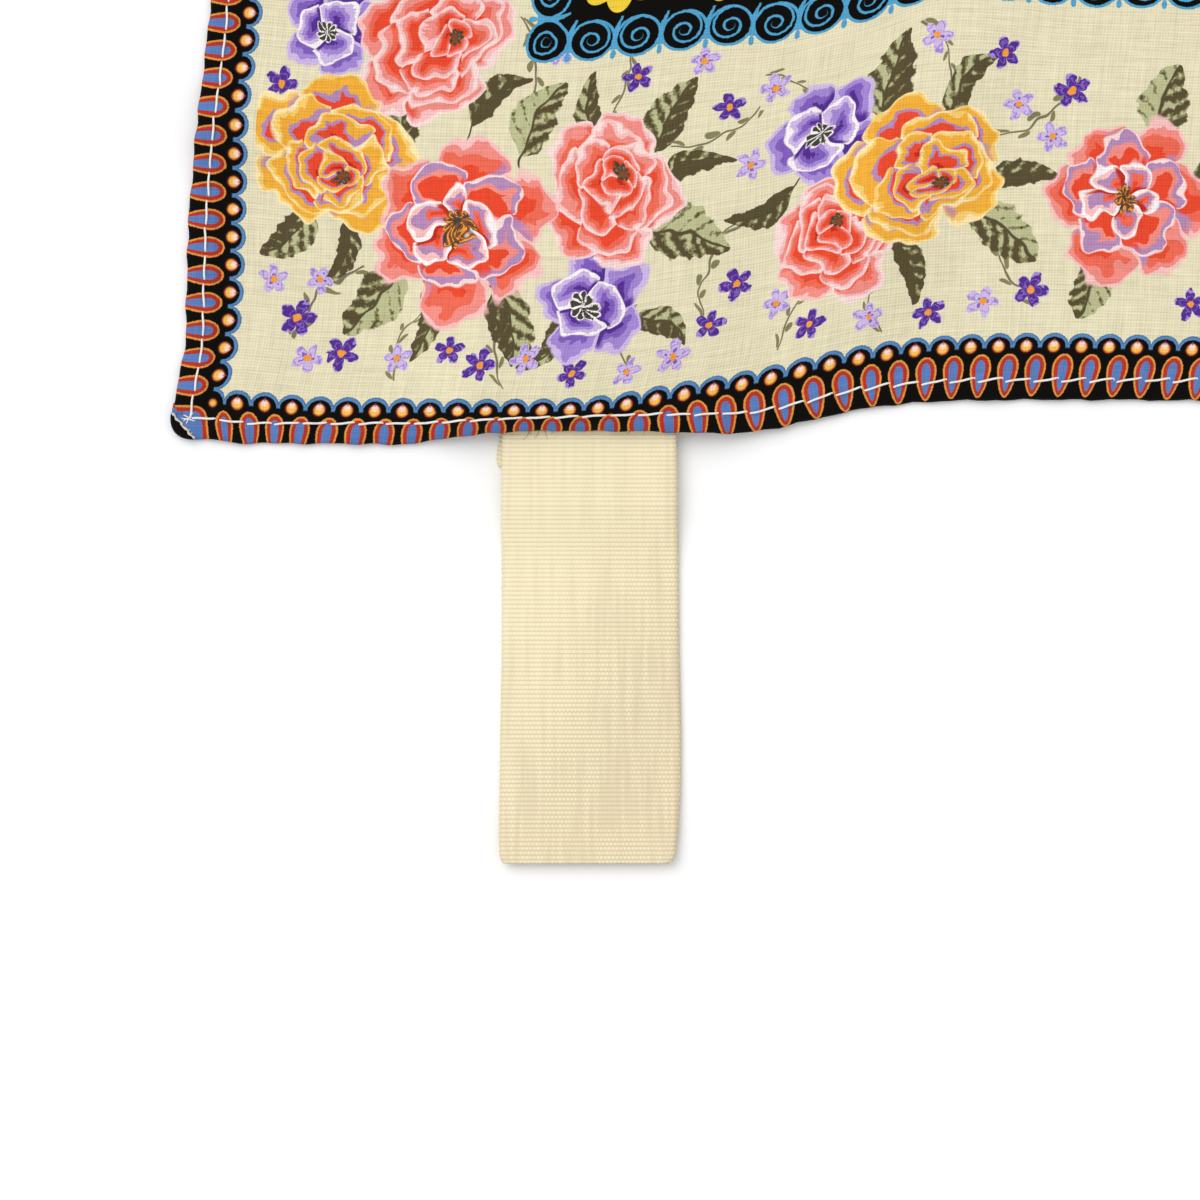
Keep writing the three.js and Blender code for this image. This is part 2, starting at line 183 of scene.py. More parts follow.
def printed(u, v):
    """The place on the print that the cloth's point (u, v) shows. Outside the dots the drops lean, and the
    black field's near edge has its own bends."""
    rise = (along(BOTTOM_DOTS, u + 2) - along(BOTTOM_DOTS, u - 2)) / 4
    lean = DROP_LEAN * rise + CORNER_LEAN * (1 - smooth(u, 4, 15))
    lower = along(FIELD_LAY, u) * plateau(v, FIELD_BENDS)
    return np.stack([u + lean * np.minimum(v, 0), v + lower, 0 * u], -1)


def metres(x, y, z):
    """Points of the drawing as places in the model's own frame."""
    return np.stack([x, y, z], -1) * MM + np.array(DRAWING_ZERO)


print(f"print side {PRINT_SIDE:.1f} mm, drawing zero at {[round(c, 5) for c in DRAWING_ZERO]}")

# %% [markdown]
# ## The camera and the light
# The photograph looks straight down. An orthographic camera could do that, but a long lens high over the
# table keeps the cloth's edges as true and works from every other side as well. The light is a bright even
# room with one broad soft lamp from the upper left, which shows the folds and the thread without a hard
# shadow.

# %% Camera
VIEW_WIDTH = 1200 / 7  # the photograph's 1200 pixels, at 7 to the millimetre
CORNER_RIGHT = 175 / 1200  # where the scarf's corner is, as shares of the frame
CORNER_DOWN = 441 / 1200
CAMERA_HIGH = 1500
camera = bpy.data.objects.new("camera", bpy.data.cameras.new("camera"))
bpy.context.scene.collection.objects.link(camera)
bpy.context.scene.camera = camera
view_x = (0.5 - CORNER_RIGHT) * VIEW_WIDTH
view_y = (CORNER_DOWN - 0.5) * VIEW_WIDTH
camera.location = Vector(metres(view_x, view_y, CAMERA_HIGH))
camera.data.lens = camera.data.sensor_width * CAMERA_HIGH / VIEW_WIDTH
camera.data.clip_end = 20
print(f"camera over ({view_x:.1f}, {view_y:.1f}) mm of the drawing, lens {camera.data.lens:.0f} mm")

# %% Lights
ROOM_LIGHT = 0.78
LAMP_POWER = 1.45
LAMP_SIZE = 0.9  # radians across
LAMP_TURN = (-28, -30, 0)  # in degrees
world = bpy.data.worlds.new("room")
world.use_nodes = True
world.node_tree.nodes["Background"].inputs["Color"].default_value = (1, 1, 1, 1)
world.node_tree.nodes["Background"].inputs["Strength"].default_value = ROOM_LIGHT
bpy.context.scene.world = world
bpy.context.scene.view_settings.view_transform = "Standard"

lamp = bpy.data.objects.new("lamp", bpy.data.lights.new("lamp", "SUN"))
lamp.data.energy = LAMP_POWER
lamp.data.angle = LAMP_SIZE
lamp.rotation_euler = [math.radians(turn) for turn in LAMP_TURN]
bpy.context.scene.collection.objects.link(lamp)
print(f"room light {ROOM_LIGHT}, lamp {LAMP_POWER}")

# %% [markdown]
# ## Helpers for every mesh, and the table
# A bmesh is a mesh that is being built: operators such as create_grid shape it, and then it becomes an
# object. Cloth, hems, tape and threads are all sheets or rolled-up sheets, so each starts as a grid whose
# vertices are moved to their places. That keeps the faces in neat rows that follow the cloth, which a
# sculpted or simulated sheet wouldn't. The table is a grid too, a hair below the cloth.

# %% Mesh helpers and the table
TABLE_HALF = 4
TABLE_DROP = 0.05
TABLE_WHITE = 0.93


def new_object(name, bm):
    """A new smooth-shaded object from a finished bmesh."""
    mesh = bpy.data.meshes.new(name)
    bm.to_mesh(mesh)
    bm.free()
    mesh.polygons.foreach_set("use_smooth", np.ones(len(mesh.polygons), bool))
    made = bpy.data.objects.new(name, mesh)
    bpy.context.scene.collection.objects.link(made)
    return made


def grid(columns, rows):
    """A bmesh grid, and where each of its vertices is in it, as shares from 0 to 1."""
    bm = bmesh.new()
    bmesh.ops.create_grid(bm, x_segments=columns, y_segments=rows, size=0.5)
    return bm, np.array([vert.co[:2] for vert in bm.verts]) + 0.5


def move_to(bm, x, y, z):
    """Moves a bmesh's vertices to places in the drawing."""
    for vert, place in zip(bm.verts, metres(x, y, z)):
        vert.co = place


def close_up(bm):
    """Joins the edges of a rolled-up grid, fills its ends and turns its faces outwards."""
    bmesh.ops.remove_doubles(bm, verts=bm.verts, dist=1e-7)
    bmesh.ops.holes_fill(bm, edges=[e for e in bm.edges if e.is_boundary], sides=0)
    bmesh.ops.recalc_face_normals(bm, faces=bm.faces)


def thicken(piece, thick, offset=1):
    """Gives a sheet its thickness, towards the side that its faces point to, or away from it at offset -1."""
    shell = piece.modifiers.new("thickness", "SOLIDIFY")
    shell.thickness = thick * MM
    shell.offset = offset
    return shell


bm = bmesh.new()
bmesh.ops.create_grid(bm, x_segments=2, y_segments=2, size=TABLE_HALF)
bmesh.ops.translate(bm, verts=bm.verts, vec=(0, 0, -TABLE_DROP * MM))
table = new_object("table", bm)
table_paint = bpy.data.materials.new("white table")
table_paint.use_nodes = True
table_shader = table_paint.node_tree.nodes["Principled BSDF"]
table_shader.inputs["Base Color"].default_value = (TABLE_WHITE, TABLE_WHITE, TABLE_WHITE, 1)
table_shader.inputs["Roughness"].default_value = 1.0
table.data.materials.append(table_paint)
print(f"table {2 * TABLE_HALF} m across")

# %% [markdown]
# ## Writing a shader as arithmetic
# A print could be a picture wrapped on the cloth, but arithmetic stays sharp at any distance and needs no
# picture file. A print this rich is a lot of shader nodes, so a small class lets them be written as sums:
# adding two fields makes an Add node and links it. What comes out is an ordinary node tree.

# %% Fields
class Field:
    """A number that the shader works out at every point of a surface."""

    def __init__(self, tree, socket):
        self.tree = tree
        self.socket = socket

    def __add__(self, other):
        return do("ADD", self, other)

    def __sub__(self, other):
        return do("SUBTRACT", self, other)

    def __mul__(self, other):
        return do("MULTIPLY", self, other)

    def __radd__(self, other):
        return do("ADD", other, self)

    def __rsub__(self, other):
        return do("SUBTRACT", other, self)

    def __lt__(self, other):
        return do("LESS_THAN", self, other)

    def __gt__(self, other):
        return do("GREATER_THAN", self, other)


def plug(tree, sockets, values):
    """Links each value that is a field or a socket to its place, and sets the others there."""
    for socket, value in zip(sockets, values):
        if isinstance(value, Field):
            tree.links.new(value.socket, socket)
        elif isinstance(value, bpy.types.NodeSocket):
            tree.links.new(value, socket)
        else:
            socket.default_value = value


def do(operation, *values):
    """A Math node's result."""
    tree = next(value.tree for value in values if isinstance(value, Field))
    node = tree.nodes.new("ShaderNodeMath")
    node.operation = operation
    plug(tree, node.inputs, values)
    return Field(tree, node.outputs[0])


def ease(value, start, end):
    """0 before start, 1 after end and smooth between, or the other way round where start is the greater."""
    node = value.tree.nodes.new("ShaderNodeMapRange")
    node.interpolation_type = "SMOOTHSTEP"
    plug(value.tree, node.inputs, (value, start, end))
    return Field(value.tree, node.outputs[0])


def distance(a, b):
    """The length of a sideways and b up."""
    return do("SQRT", do("MULTIPLY_ADD", a, a, b * b))


def read(tree, name):
    """The three numbers that a mesh holds under this name."""
    attribute = tree.nodes.new("ShaderNodeAttribute")
    attribute.attribute_name = name
    parts = tree.nodes.new("ShaderNodeSeparateXYZ")
    tree.links.new(attribute.outputs["Vector"], parts.inputs[0])
    return [Field(tree, socket) for socket in parts.outputs]


def vector(tree, x, y, z=0.0):
    """Three numbers as one place."""
    node = tree.nodes.new("ShaderNodeCombineXYZ")
    plug(tree, node.inputs, (x, y, z))
    return node.outputs[0]


def cloud(tree, place, scale=1.0, detail=1.0):
    """Soft noise, about 0.2 to 0.8."""
    node = tree.nodes.new("ShaderNodeTexNoise")
    tree.links.new(place, node.inputs["Vector"])
    node.inputs["Scale"].default_value = scale
    node.inputs["Detail"].default_value = detail
    return Field(tree, node.outputs["Fac"])


def over(tree, below, above, share):
    """One colour laid over another."""
    node = tree.nodes.new("ShaderNodeMix")
    node.data_type = "RGBA"
    plug(tree, (node.inputs[0], node.inputs[6], node.inputs[7]), (share, below, above))
    return node.outputs[2]


def shades(value, stops, hard=False):
    """A colour picked by a number. Each stop is a place from 0 to 1 and an ink; hard steps look painted."""
    node = value.tree.nodes.new("ShaderNodeValToRGB")
    ramp = node.color_ramp
    ramp.interpolation = "CONSTANT" if hard else "LINEAR"
    while len(ramp.elements) < len(stops):
        ramp.elements.new(0.5)
    for element, (place, ink) in zip(ramp.elements, stops):
        element.position = place
        element.color = INK[ink]
    value.tree.links.new(value.socket, node.inputs[0])
    return node.outputs[0]


# %% [markdown]
# ## The inks
# The cloth's print is drawn in about thirty flat inks. Each is written here as the eye sees it on a screen.
# Shaders want linear light instead, and the table is lit a little over white, so each ink is made linear and
# brought down by that much to get the cloth's own colour.

# %% Inks
BRIGHTNESS = 1.12


def linear(shade):
    """A screen's 0 to 255 as linear light, by the sRGB curve."""
    return shade / 255 / 12.92 if shade < 11 else ((shade / 255 + 0.055) / 1.055) ** 2.4


def ink(*screen):
    return (*[linear(shade) / BRIGHTNESS for shade in screen], 1)


INK = {
    "cream": ink(229, 221, 187),
    "black": ink(9, 8, 6),
    "border blue": ink(88, 136, 186),
    "deep blue": ink(52, 88, 134),
    "core blue": ink(90, 126, 186),
    "dot pink": ink(253, 218, 206),
    "dot gold": ink(246, 190, 84),
    "dot orange": ink(206, 112, 58),
    "maroon": ink(74, 20, 16),
    "drop gold": ink(226, 150, 66),
    "drop red": ink(180, 54, 38),
    "scroll blue": ink(82, 162, 204),
    "yellow": ink(240, 205, 60),
    "deep red": ink(190, 44, 30),
    "coral red": ink(232, 74, 46),
    "coral": ink(236, 106, 84),
    "light coral": ink(240, 142, 132),
    "pale pink": ink(246, 192, 190),
    "blush": ink(248, 218, 214),
    "lilac": ink(180, 138, 182),
    "amber": ink(240, 174, 60),
    "light amber": ink(248, 206, 112),
    "pale amber": ink(252, 230, 176),
    "deep violet": ink(84, 48, 142),
    "violet": ink(128, 94, 186),
    "soft violet": ink(164, 136, 210),
    "pale lilac": ink(206, 184, 228),
    "white": ink(250, 242, 240),
    "eye": ink(66, 66, 54),
    "gold eye": ink(240, 158, 62),
    "brown": ink(130, 74, 44),
    "sage": ink(186, 188, 142),
    "olive": ink(134, 128, 90),
    "dark leaf": ink(88, 78, 52),
    "tape": ink(250, 238, 200),
    "tape shade": ink(224, 206, 172),
    "thread": ink(246, 244, 240),
    "raw edge": ink(222, 206, 190),
    "hair": ink(60, 56, 62),
}
print(f"{len(INK)} inks")

# %% [markdown]
# ## The weave
# The cotton is a fine plain weave with 24 or 25 threads to the centimetre, and its threads are uneven:
# some are thicker and darker for a few centimetres, and these slubs are what the eye sees first. Threads of
# real geometry would be millions of faces, so the weave is in the material: long thin noise along each thread
# direction gives the slubs, and a tight grid of crossings gives the grain and a little relief.

# %% Weave
THREAD_PITCH = 0.42
WEAVE_RELIEF = 0.05
BACK_FADING = 0.42  # how much of the bare cotton shows on the back


def weave(tree, u, v):
    """How light the cloth is and how high its threads stand, both about 0.5."""
    weft = cloud(tree, vector(tree, u * 0.16, v * 2.5), 1.0, 2.0)
    warp = cloud(tree, vector(tree, u * 2.3, v * 0.14), 1.0, 2.0)
    turns = 2 * math.pi / THREAD_PITCH
    across, up = do("COSINE", u * turns), do("COSINE", v * turns)
    patch = cloud(tree, vector(tree, u, v), 1.1, 1.0)
    threads = (across + up) * patch
    return weft * 0.62 + warp * 0.5 + threads * 0.16 - 0.06, weft * 0.4 + warp * 0.4 + threads * 0.5


def cloth_finish(material, colour, tone, height, bump):
    """The cotton's surface: the print, shaded by the weave, on rough cloth with a little sheen."""
    tree = material.node_tree
    shader = tree.nodes["Principled BSDF"]
    shader.inputs["Roughness"].default_value = 0.92
    shader.inputs["Specular IOR Level"].default_value = 0.08
    shader.inputs["Sheen Weight"].default_value = 0.03
    light = tree.nodes.new("ShaderNodeVectorMath")
    light.name = "weave on print"
    light.operation = "SCALE"
    tree.links.new(colour, light.inputs[0])
    tree.links.new((tone * 0.62 + 0.69).socket, light.inputs["Scale"])
    tree.links.new(light.outputs[0], shader.inputs["Base Color"])
    relief = tree.nodes.new("ShaderNodeBump")
    relief.inputs["Strength"].default_value = 1.0
    relief.inputs["Distance"].default_value = bump * MM
    tree.links.new(height.socket, relief.inputs["Height"])
    tree.links.new(relief.outputs[0], shader.inputs["Normal"])


def new_material(name):
    made = bpy.data.materials.new(name)
    made.use_nodes = True
    return made


def cotton(name, paint):
    """Cotton cloth with the print that a function paints, given the node tree and the place on the print."""
    material = new_material(name)
    tree = material.node_tree
    u, v, _ = read(tree, "print")
    colour = paint(tree, u, v)
    cloth_finish(material, colour, *weave(tree, u, v), WEAVE_RELIEF)
    print(f"{name}: {len(tree.nodes)} shader nodes")
    return material


def from_behind(material):
    """The same print as it shows through on the cloth's back, faded towards the bare cotton."""
    back = material.copy()
    back.name = material.name + " from behind"
    tree = back.node_tree
    colour = tree.nodes["weave on print"].inputs[0]
    faded = over(tree, colour.links[0].from_socket, INK["cream"], BACK_FADING)
    tree.links.new(faded, colour)
    return back


print(f"weave: {10 / THREAD_PITCH:.0f} threads to the centimetre")

# %% [markdown]
# ## The border: dots, scallops and drops
# A row of round dots runs all the way round, each on a black disc with a blue scallop inside it. Outside the
# dots, a drop hangs in each gap. Placing 528 of each by hand would be slow and could drift. Folding the print
# about its middle brings all four sides to one corner, so one dot and one drop are drawn, and arithmetic
# repeats them.

# %% Border print
DOT_RADIUS = 0.84
DISC_HIGH = 1.42  # the black disc's reach inwards and sideways, then the blue scallop's
DISC_WIDE = 1.7
SCALLOP_HIGH = 1.98
SCALLOP_WIDE = 2.12
FIRST_GAP = 0.5  # how much nearer the corner's small dot the bottom row starts
DROP_START = 1.05
DROP_HEAD = 2.2  # from the drop's round end to its widest place
DROP_TAIL = 4.1
DROP_WIDE = 1.52
DROP_TAPER = 0.2
DROP_SHIFT = 0.4  # how far the left row's drops sit past the middle between two dots
LEVEL_SHIFT = 0.65  # how much less the bottom row's do
GOLD_RING = 0.27
RED_RING = 0.86
CORNER_DROP_U = 0.9  # how far outside each row the corner's own drop starts
CORNER_DROP_V = 0.45
CORNER_DROP_RADIUS = 1.7
BLACK_UNTIL = 8.1  # how far outside the dots the black ground goes


def ringed(tree, colour, skin):
    """A drop's gold and red rings round its blue core. skin is the distance outside its outline."""
    colour = over(tree, colour, INK["drop gold"], ease(skin, 0.05, -0.05))
    colour = over(tree, colour, INK["drop red"], ease(skin, 0.06 - GOLD_RING, -0.06 - GOLD_RING))
    return over(tree, colour, INK["core blue"], ease(skin, 0.08 - RED_RING, -0.08 - RED_RING))


def border_paint(tree, u, v):
    """Dots, scallops and drops on a cream ground."""
    half = PRINT_SIDE / 2
    in_u, in_v = half - do("ABSOLUTE", u - half), half - do("ABSOLUTE", v - half)  # in from the nearest rows
    side = do("MAXIMUM", in_u, in_v)
    depth = do("MINIMUM", in_u, in_v)
    level = in_u > in_v  # 1 along the bottom and top, 0 along the left and right
    fraying = (cloud(tree, vector(tree, u, v), 3.2, 1.0) - 0.5) * 0.22
    early = level * ease(side, 0.8, 2.4) * (FIRST_GAP - side * (2 * FIRST_GAP / PRINT_SIDE))
    side = side + early
    step = do("MAXIMUM", side, 0.0) * (1 / DOT_PITCH)
    from_dot = side - do("ROUND", step) * DOT_PITCH
    from_drop = side - (do("FLOOR", step) + 0.5) * DOT_PITCH - (DROP_SHIFT - level * LEVEL_SHIFT)
    first = ease(side, 2.0, 1.6)

    disc = distance(from_dot * (DISC_HIGH / DISC_WIDE), depth) + fraying
    scallop = distance(from_dot * (SCALLOP_HIGH / SCALLOP_WIDE), depth) + fraying
    share = ease(disc, DISC_HIGH - 0.05, DISC_HIGH + 0.05) * ease(depth, -0.3, 0.0)
    colour = over(tree, INK["black"], INK["border blue"], share)
    rim = ease(scallop, SCALLOP_HIGH - 0.22, SCALLOP_HIGH - 0.1) * ease(depth, 0.1, 0.4)
    colour = over(tree, colour, INK["deep blue"], rim * 0.6)
    reach = distance(from_dot, depth) + fraying * 0.5 + first * 0.25
    colour = over(tree, colour, INK["maroon"], ease(reach, DOT_RADIUS + 0.3, DOT_RADIUS))
    colour = over(tree, colour, INK["dot orange"], ease(reach, DOT_RADIUS + 0.08, DOT_RADIUS - 0.1))
    colour = over(tree, colour, INK["dot gold"], ease(reach, DOT_RADIUS - 0.08, DOT_RADIUS - 0.3))
    pink = ease(distance(from_dot, depth - 0.4) + first, 0.62, 0.26)
    colour = over(tree, colour, INK["dot pink"], pink)
    glint = ease(do("ABSOLUTE", from_dot), 0.16, 0.04) * ease(do("ABSOLUTE", depth - 0.9), 0.34, 0.2)
    colour = over(tree, colour, INK["drop red"], glint * 0.7)

    down = (0 - depth) - (DROP_START + DROP_HEAD)
    tail = do("MINIMUM", do("MAXIMUM", down * (1 / DROP_TAIL), 0.0), 1.0)
    wide = DROP_WIDE - tail * (DROP_TAPER * DROP_WIDE)
    long = DROP_HEAD + (down > 0.0) * (DROP_TAIL - DROP_HEAD)
    across, up = do("DIVIDE", from_drop, wide), do("DIVIDE", down, long)
    round_off = distance(across, up)
    steep = distance(do("DIVIDE", across, wide), do("DIVIDE", up, long))
    skin = do("DIVIDE", round_off * (round_off - 1.0), do("MAXIMUM", steep, 0.01)) + fraying
    colour = ringed(tree, colour, skin)

    from_u, from_v = (0 - in_u) - CORNER_DROP_U, (0 - in_v) - CORNER_DROP_V
    short_u = do("MAXIMUM", CORNER_DROP_RADIUS - from_u, 0.0)
    short_v = do("MAXIMUM", CORNER_DROP_RADIUS - from_v, 0.0)
    rounded = CORNER_DROP_RADIUS - distance(short_u, short_v)
    colour = ringed(tree, colour, fraying - do("MINIMUM", do("MINIMUM", from_u, from_v), rounded))

    inside = ease(scallop, SCALLOP_HIGH + 0.05, SCALLOP_HIGH - 0.05)
    ground = ease(depth, 0.5, 0.3) * ease(depth, -BLACK_UNTIL - 0.3, -BLACK_UNTIL)
    return over(tree, INK["cream"], colour, do("MAXIMUM", inside, ground))


border_material = cotton("border print", border_paint)

# %% [markdown]
# ## The black middle and its scrolled edge
# Inside the flowers is a black field. Its edge is a row of black rounds, each outlined in blue with a spiral
# in it that is turned against the next one's. Webs of blue join the rounds, and a row of yellow medallions
# runs inside them. A spiral could be a curve made a mesh, but as a print it has no thickness, so it is drawn
# by arithmetic too: the angle round its middle plus the logarithm of the distance from it makes a number, and
# the line shows where that number is near a whole one.

# %% Black field
FIELD_EDGE_U = 40.0  # how far in from the left and right rows of dots the field starts
FIELD_EDGE_V = 49.3
FIELD_CORNER = 6.0
SCROLL_DEPTH = 3.2  # how far in from the field's edge the rounds' middles are
SCROLL_STEPS_U = 34
SCROLL_STEPS_V = 32
ROUND_WIDE = 3.34  # from a round's middle to its sides
ROUND_FLAT = 1.14  # its width as a share of its height
OUTLINE_HALF = 0.21  # half the width of a round's outline
SPIRAL_HALF = 0.19
SPIRAL_GROWTH = 0.98  # the natural logarithm of how much a spiral widens in one turn
SPIRAL_START = 0.64
WEB_HALF = 1.25
BEAD_RADIUS = 0.32
THORN_LEAN = 0.42
THORN_HALF = 0.95
MEDAL_DEPTH = 13.0
MEDAL_STEPS_U = 15
MEDAL_STEPS_V = 14
MEDAL_REACH = 4.7  # from a medallion's middle to the notches between its petals
MEDAL_PETAL = 1.5  # how far the petals go past them
MEDAL_RING = 2.6
MEDAL_HEART = 0.9


def nearest_round(from_end, steps, span):
    """Which of a row's rounds is nearest, how far along the row its middle is, and the rounds' pitch."""
    pitch = span / (steps - 0.5)
    count = do("MAXIMUM", do("ROUND", from_end * (1 / pitch)), 0.0)
    return count, count * pitch, pitch


def scroll(sideways, up, turn, pitch):
    """One round about its middle: its blue lines, and the cloth that it covers outside the field."""
    reach = distance(sideways, up * ROUND_FLAT)
    off_rim = do("ABSOLUTE", reach - (ROUND_WIDE - OUTLINE_HALF))
    outline = ease(off_rim, OUTLINE_HALF + 0.05, OUTLINE_HALF - 0.05)
    angle = do("ARCTAN2", 0 - sideways, up) * turn * (0.5 / math.pi)
    wound = do("LOGARITHM", reach, math.e) * (1 / SPIRAL_GROWTH) - angle - SPIRAL_START
    off_line = do("ABSOLUTE", do("FRACT", wound) - 0.5) * reach * SPIRAL_GROWTH
    spiral = ease(off_line, SPIRAL_HALF + 0.04, SPIRAL_HALF - 0.06)
    spiral = spiral * ease(reach, ROUND_WIDE, ROUND_WIDE - 0.1) * ease(reach, 0.6, 0.8)

    from_join = (do("FRACT", do("DIVIDE", sideways, pitch)) - 0.5) * pitch
    in_row = ease(sideways, -ROUND_WIDE - 0.1, -ROUND_WIDE)
    web = ease(do("ABSOLUTE", up + 0.3), WEB_HALF + 0.15, WEB_HALF) * in_row
    web = web * ease(reach, ROUND_WIDE - 0.3, ROUND_WIDE - 0.2)
    bead = ease(distance(from_join, (up + 2.3) * 0.6), BEAD_RADIUS + 0.1, BEAD_RADIUS) * in_row
    rise = up - 1.2
    thorn = ease(do("ABSOLUTE", from_join - rise * THORN_LEAN) + rise * 0.11, 0.4, 0.3)
    thorn = thorn * ease(do("ABSOLUTE", rise - 0.8), THORN_HALF + 0.15, THORN_HALF) * in_row
    lines = do("MAXIMUM", do("MAXIMUM", outline, spiral), do("MAXIMUM", web, thorn))
    cover = do("MAXIMUM", ease(reach, ROUND_WIDE + 0.04, ROUND_WIDE - 0.04), web)
    return do("MAXIMUM", lines, bead), do("MAXIMUM", cover, bead)


def medallion(sideways, up, colour):
    """A plain eight-petalled medallion about its middle."""
    tree = up.tree
    reach = distance(sideways, up)
    lobes = do("ABSOLUTE", do("COSINE", do("ARCTAN2", up, sideways) * 4.0))
    petal = reach - do("MULTIPLY_ADD", lobes, MEDAL_PETAL, MEDAL_REACH)
    colour = over(tree, colour, INK["yellow"], ease(petal, 0.05, -0.05))
    colour = over(tree, colour, INK["black"], ease(do("ABSOLUTE", reach - MEDAL_RING), 0.5, 0.36))
    return over(tree, colour, INK["scroll blue"], ease(reach, MEDAL_HEART + 0.2, MEDAL_HEART))


def row_places(from_u, from_v, level, span_u, span_v, steps_u, steps_v):
    """The place about the nearest round in the row beside this side of the field, its count and the pitch."""
    upright = 1 - level
    count_u, place_u, pitch_u = nearest_round(from_u, steps_u, span_u)
    count_v, place_v, pitch_v = nearest_round(from_v, steps_v, span_v)
    sideways = (from_u - place_u) * level + (from_v - place_v) * upright
    up = from_v * level + from_u * upright
    return sideways, up, count_u * level + count_v * upright, level * pitch_u + upright * pitch_v


def black_field(tree, u, v, colour):
    """Lays the black field, its scroll and its medallions over a colour."""
    half = PRINT_SIDE / 2
    span_u, span_v = half - FIELD_EDGE_U, half - FIELD_EDGE_V
    out_u, out_v = do("ABSOLUTE", u - half), do("ABSOLUTE", v - half)
    from_u, from_v = span_u - out_u, span_v - out_v  # in from the field's own corner
    short_u, short_v = (do("MAXIMUM", FIELD_CORNER - place, 0.0) for place in (from_u, from_v))
    beyond = do("MAXIMUM", do("MINIMUM", from_u, from_v) - FIELD_CORNER, 0.0)
    depth = beyond + (FIELD_CORNER - distance(short_u, short_v))
    level = from_u > from_v  # 1 beside the field's bottom and top, 0 beside its left and right

    def row(inset, *steps):
        spans = span_u - inset, span_v - inset
        return row_places(from_u - inset, from_v - inset, level, *spans, *steps)

    sideways, up, count, pitch = row(SCROLL_DEPTH, SCROLL_STEPS_U, SCROLL_STEPS_V)
    turn = do("PINGPONG", count, 1.0) * 2.0 - 1.0
    fraying = (cloud(tree, vector(tree, u, v), 1.6, 1.0) - 0.5) * 0.3
    lines, cover = scroll(sideways + fraying, up - fraying, turn, pitch)
    ground = do("MAXIMUM", cover, ease(depth, SCROLL_DEPTH - 0.1, SCROLL_DEPTH))
    colour = over(tree, colour, INK["black"], ground)
    sideways, up, _, _ = row(MEDAL_DEPTH, MEDAL_STEPS_U, MEDAL_STEPS_V)
    colour = medallion(sideways, up, colour)
    return over(tree, colour, INK["scroll blue"], lines)


print(f"scrolls: {2 * SCROLL_STEPS_U - 1} along the bottom, {2 * SCROLL_STEPS_V - 1} up each side")


# %% [markdown]
# ## Flowers
# The real flowers look painted and are printed in flat inks. Each bloom here is built up like a painted one,
# from the outer petals in. A ring of petals is a circle whose radius swells and shrinks with the angle. A
# ramp of inks with hard steps runs from its rim to its heart, and a streaky noise breaks the steps up into
# brush strokes. Every kind of bloom is drawn once, about its own centre, and a soft warp of the whole print
# makes no two come out alike.

# %% Flower parts
def bloom(tree, name, warp):
    """The local place in a bloom, warped a little so that no two are alike."""
    x, y, tint = read(tree, name)
    parts = tree.nodes.new("ShaderNodeSeparateXYZ")
    tree.links.new(warp, parts.inputs[0])
    x = x + (Field(tree, parts.outputs[0]) - 0.5) * 0.5
    y = y + (Field(tree, parts.outputs[1]) - 0.5) * 0.5
    return x, y, tint


def warping(tree):
    """Soft three-way noise over the print, that the blooms' places are moved by."""
    u, v, _ = read(tree, "print")
    noise = tree.nodes.new("ShaderNodeTexNoise")
    tree.links.new(vector(tree, u, v), noise.inputs["Vector"])
    noise.inputs["Scale"].default_value = 0.21
    noise.inputs["Detail"].default_value = 1.0
    return noise.outputs["Color"]


def strokes(tree, x, y, fine=2.6):
    """Brush strokes that run outwards from the heart."""
    reach = distance(x, y)
    scale = do("DIVIDE", fine, do("MAXIMUM", reach, 0.05))
    return cloud(tree, vector(tree, x * scale, y * scale, reach * 2.4), 1.5, 2.0) - 0.5


def petals(tree, colour, x, y, brush, count, size, turn, stops, shadow, gap=0.2, feather=0.0):
    """One ring of petals over a colour. Each petal laps the next one's side and shades it. gap is how deep
    the notches between them are, and feather how far their rims fray."""
    reach = distance(x, y)
    lap = do("FRACT", do("MULTIPLY_ADD", do("ARCTAN2", y, x), count / (2 * math.pi), turn))
    bow = do("ABSOLUTE", lap - 0.45)
    edge = size - do("POWER", bow, 2.0) * (gap * size * 4) + brush * (0.07 * size)
    arc = reach * (2 * math.pi / count)
    from_rim = do("SMOOTH_MIN", edge - reach, (1.0 - lap) * arc, 0.06 * size)
    tone = shades(from_rim * (1.7 / size) + brush * 0.36, stops, hard=True)
    shade = ease(lap * arc + brush * 0.12, 0.13 * size, 0.07 * size) * ease(reach, edge * 0.97, edge * 0.8)
    tone = over(tree, tone, INK[shadow], shade)
    return over(tree, colour, tone, ease(edge - reach + brush * feather, -0.012 - feather * 0.3, 0.012))


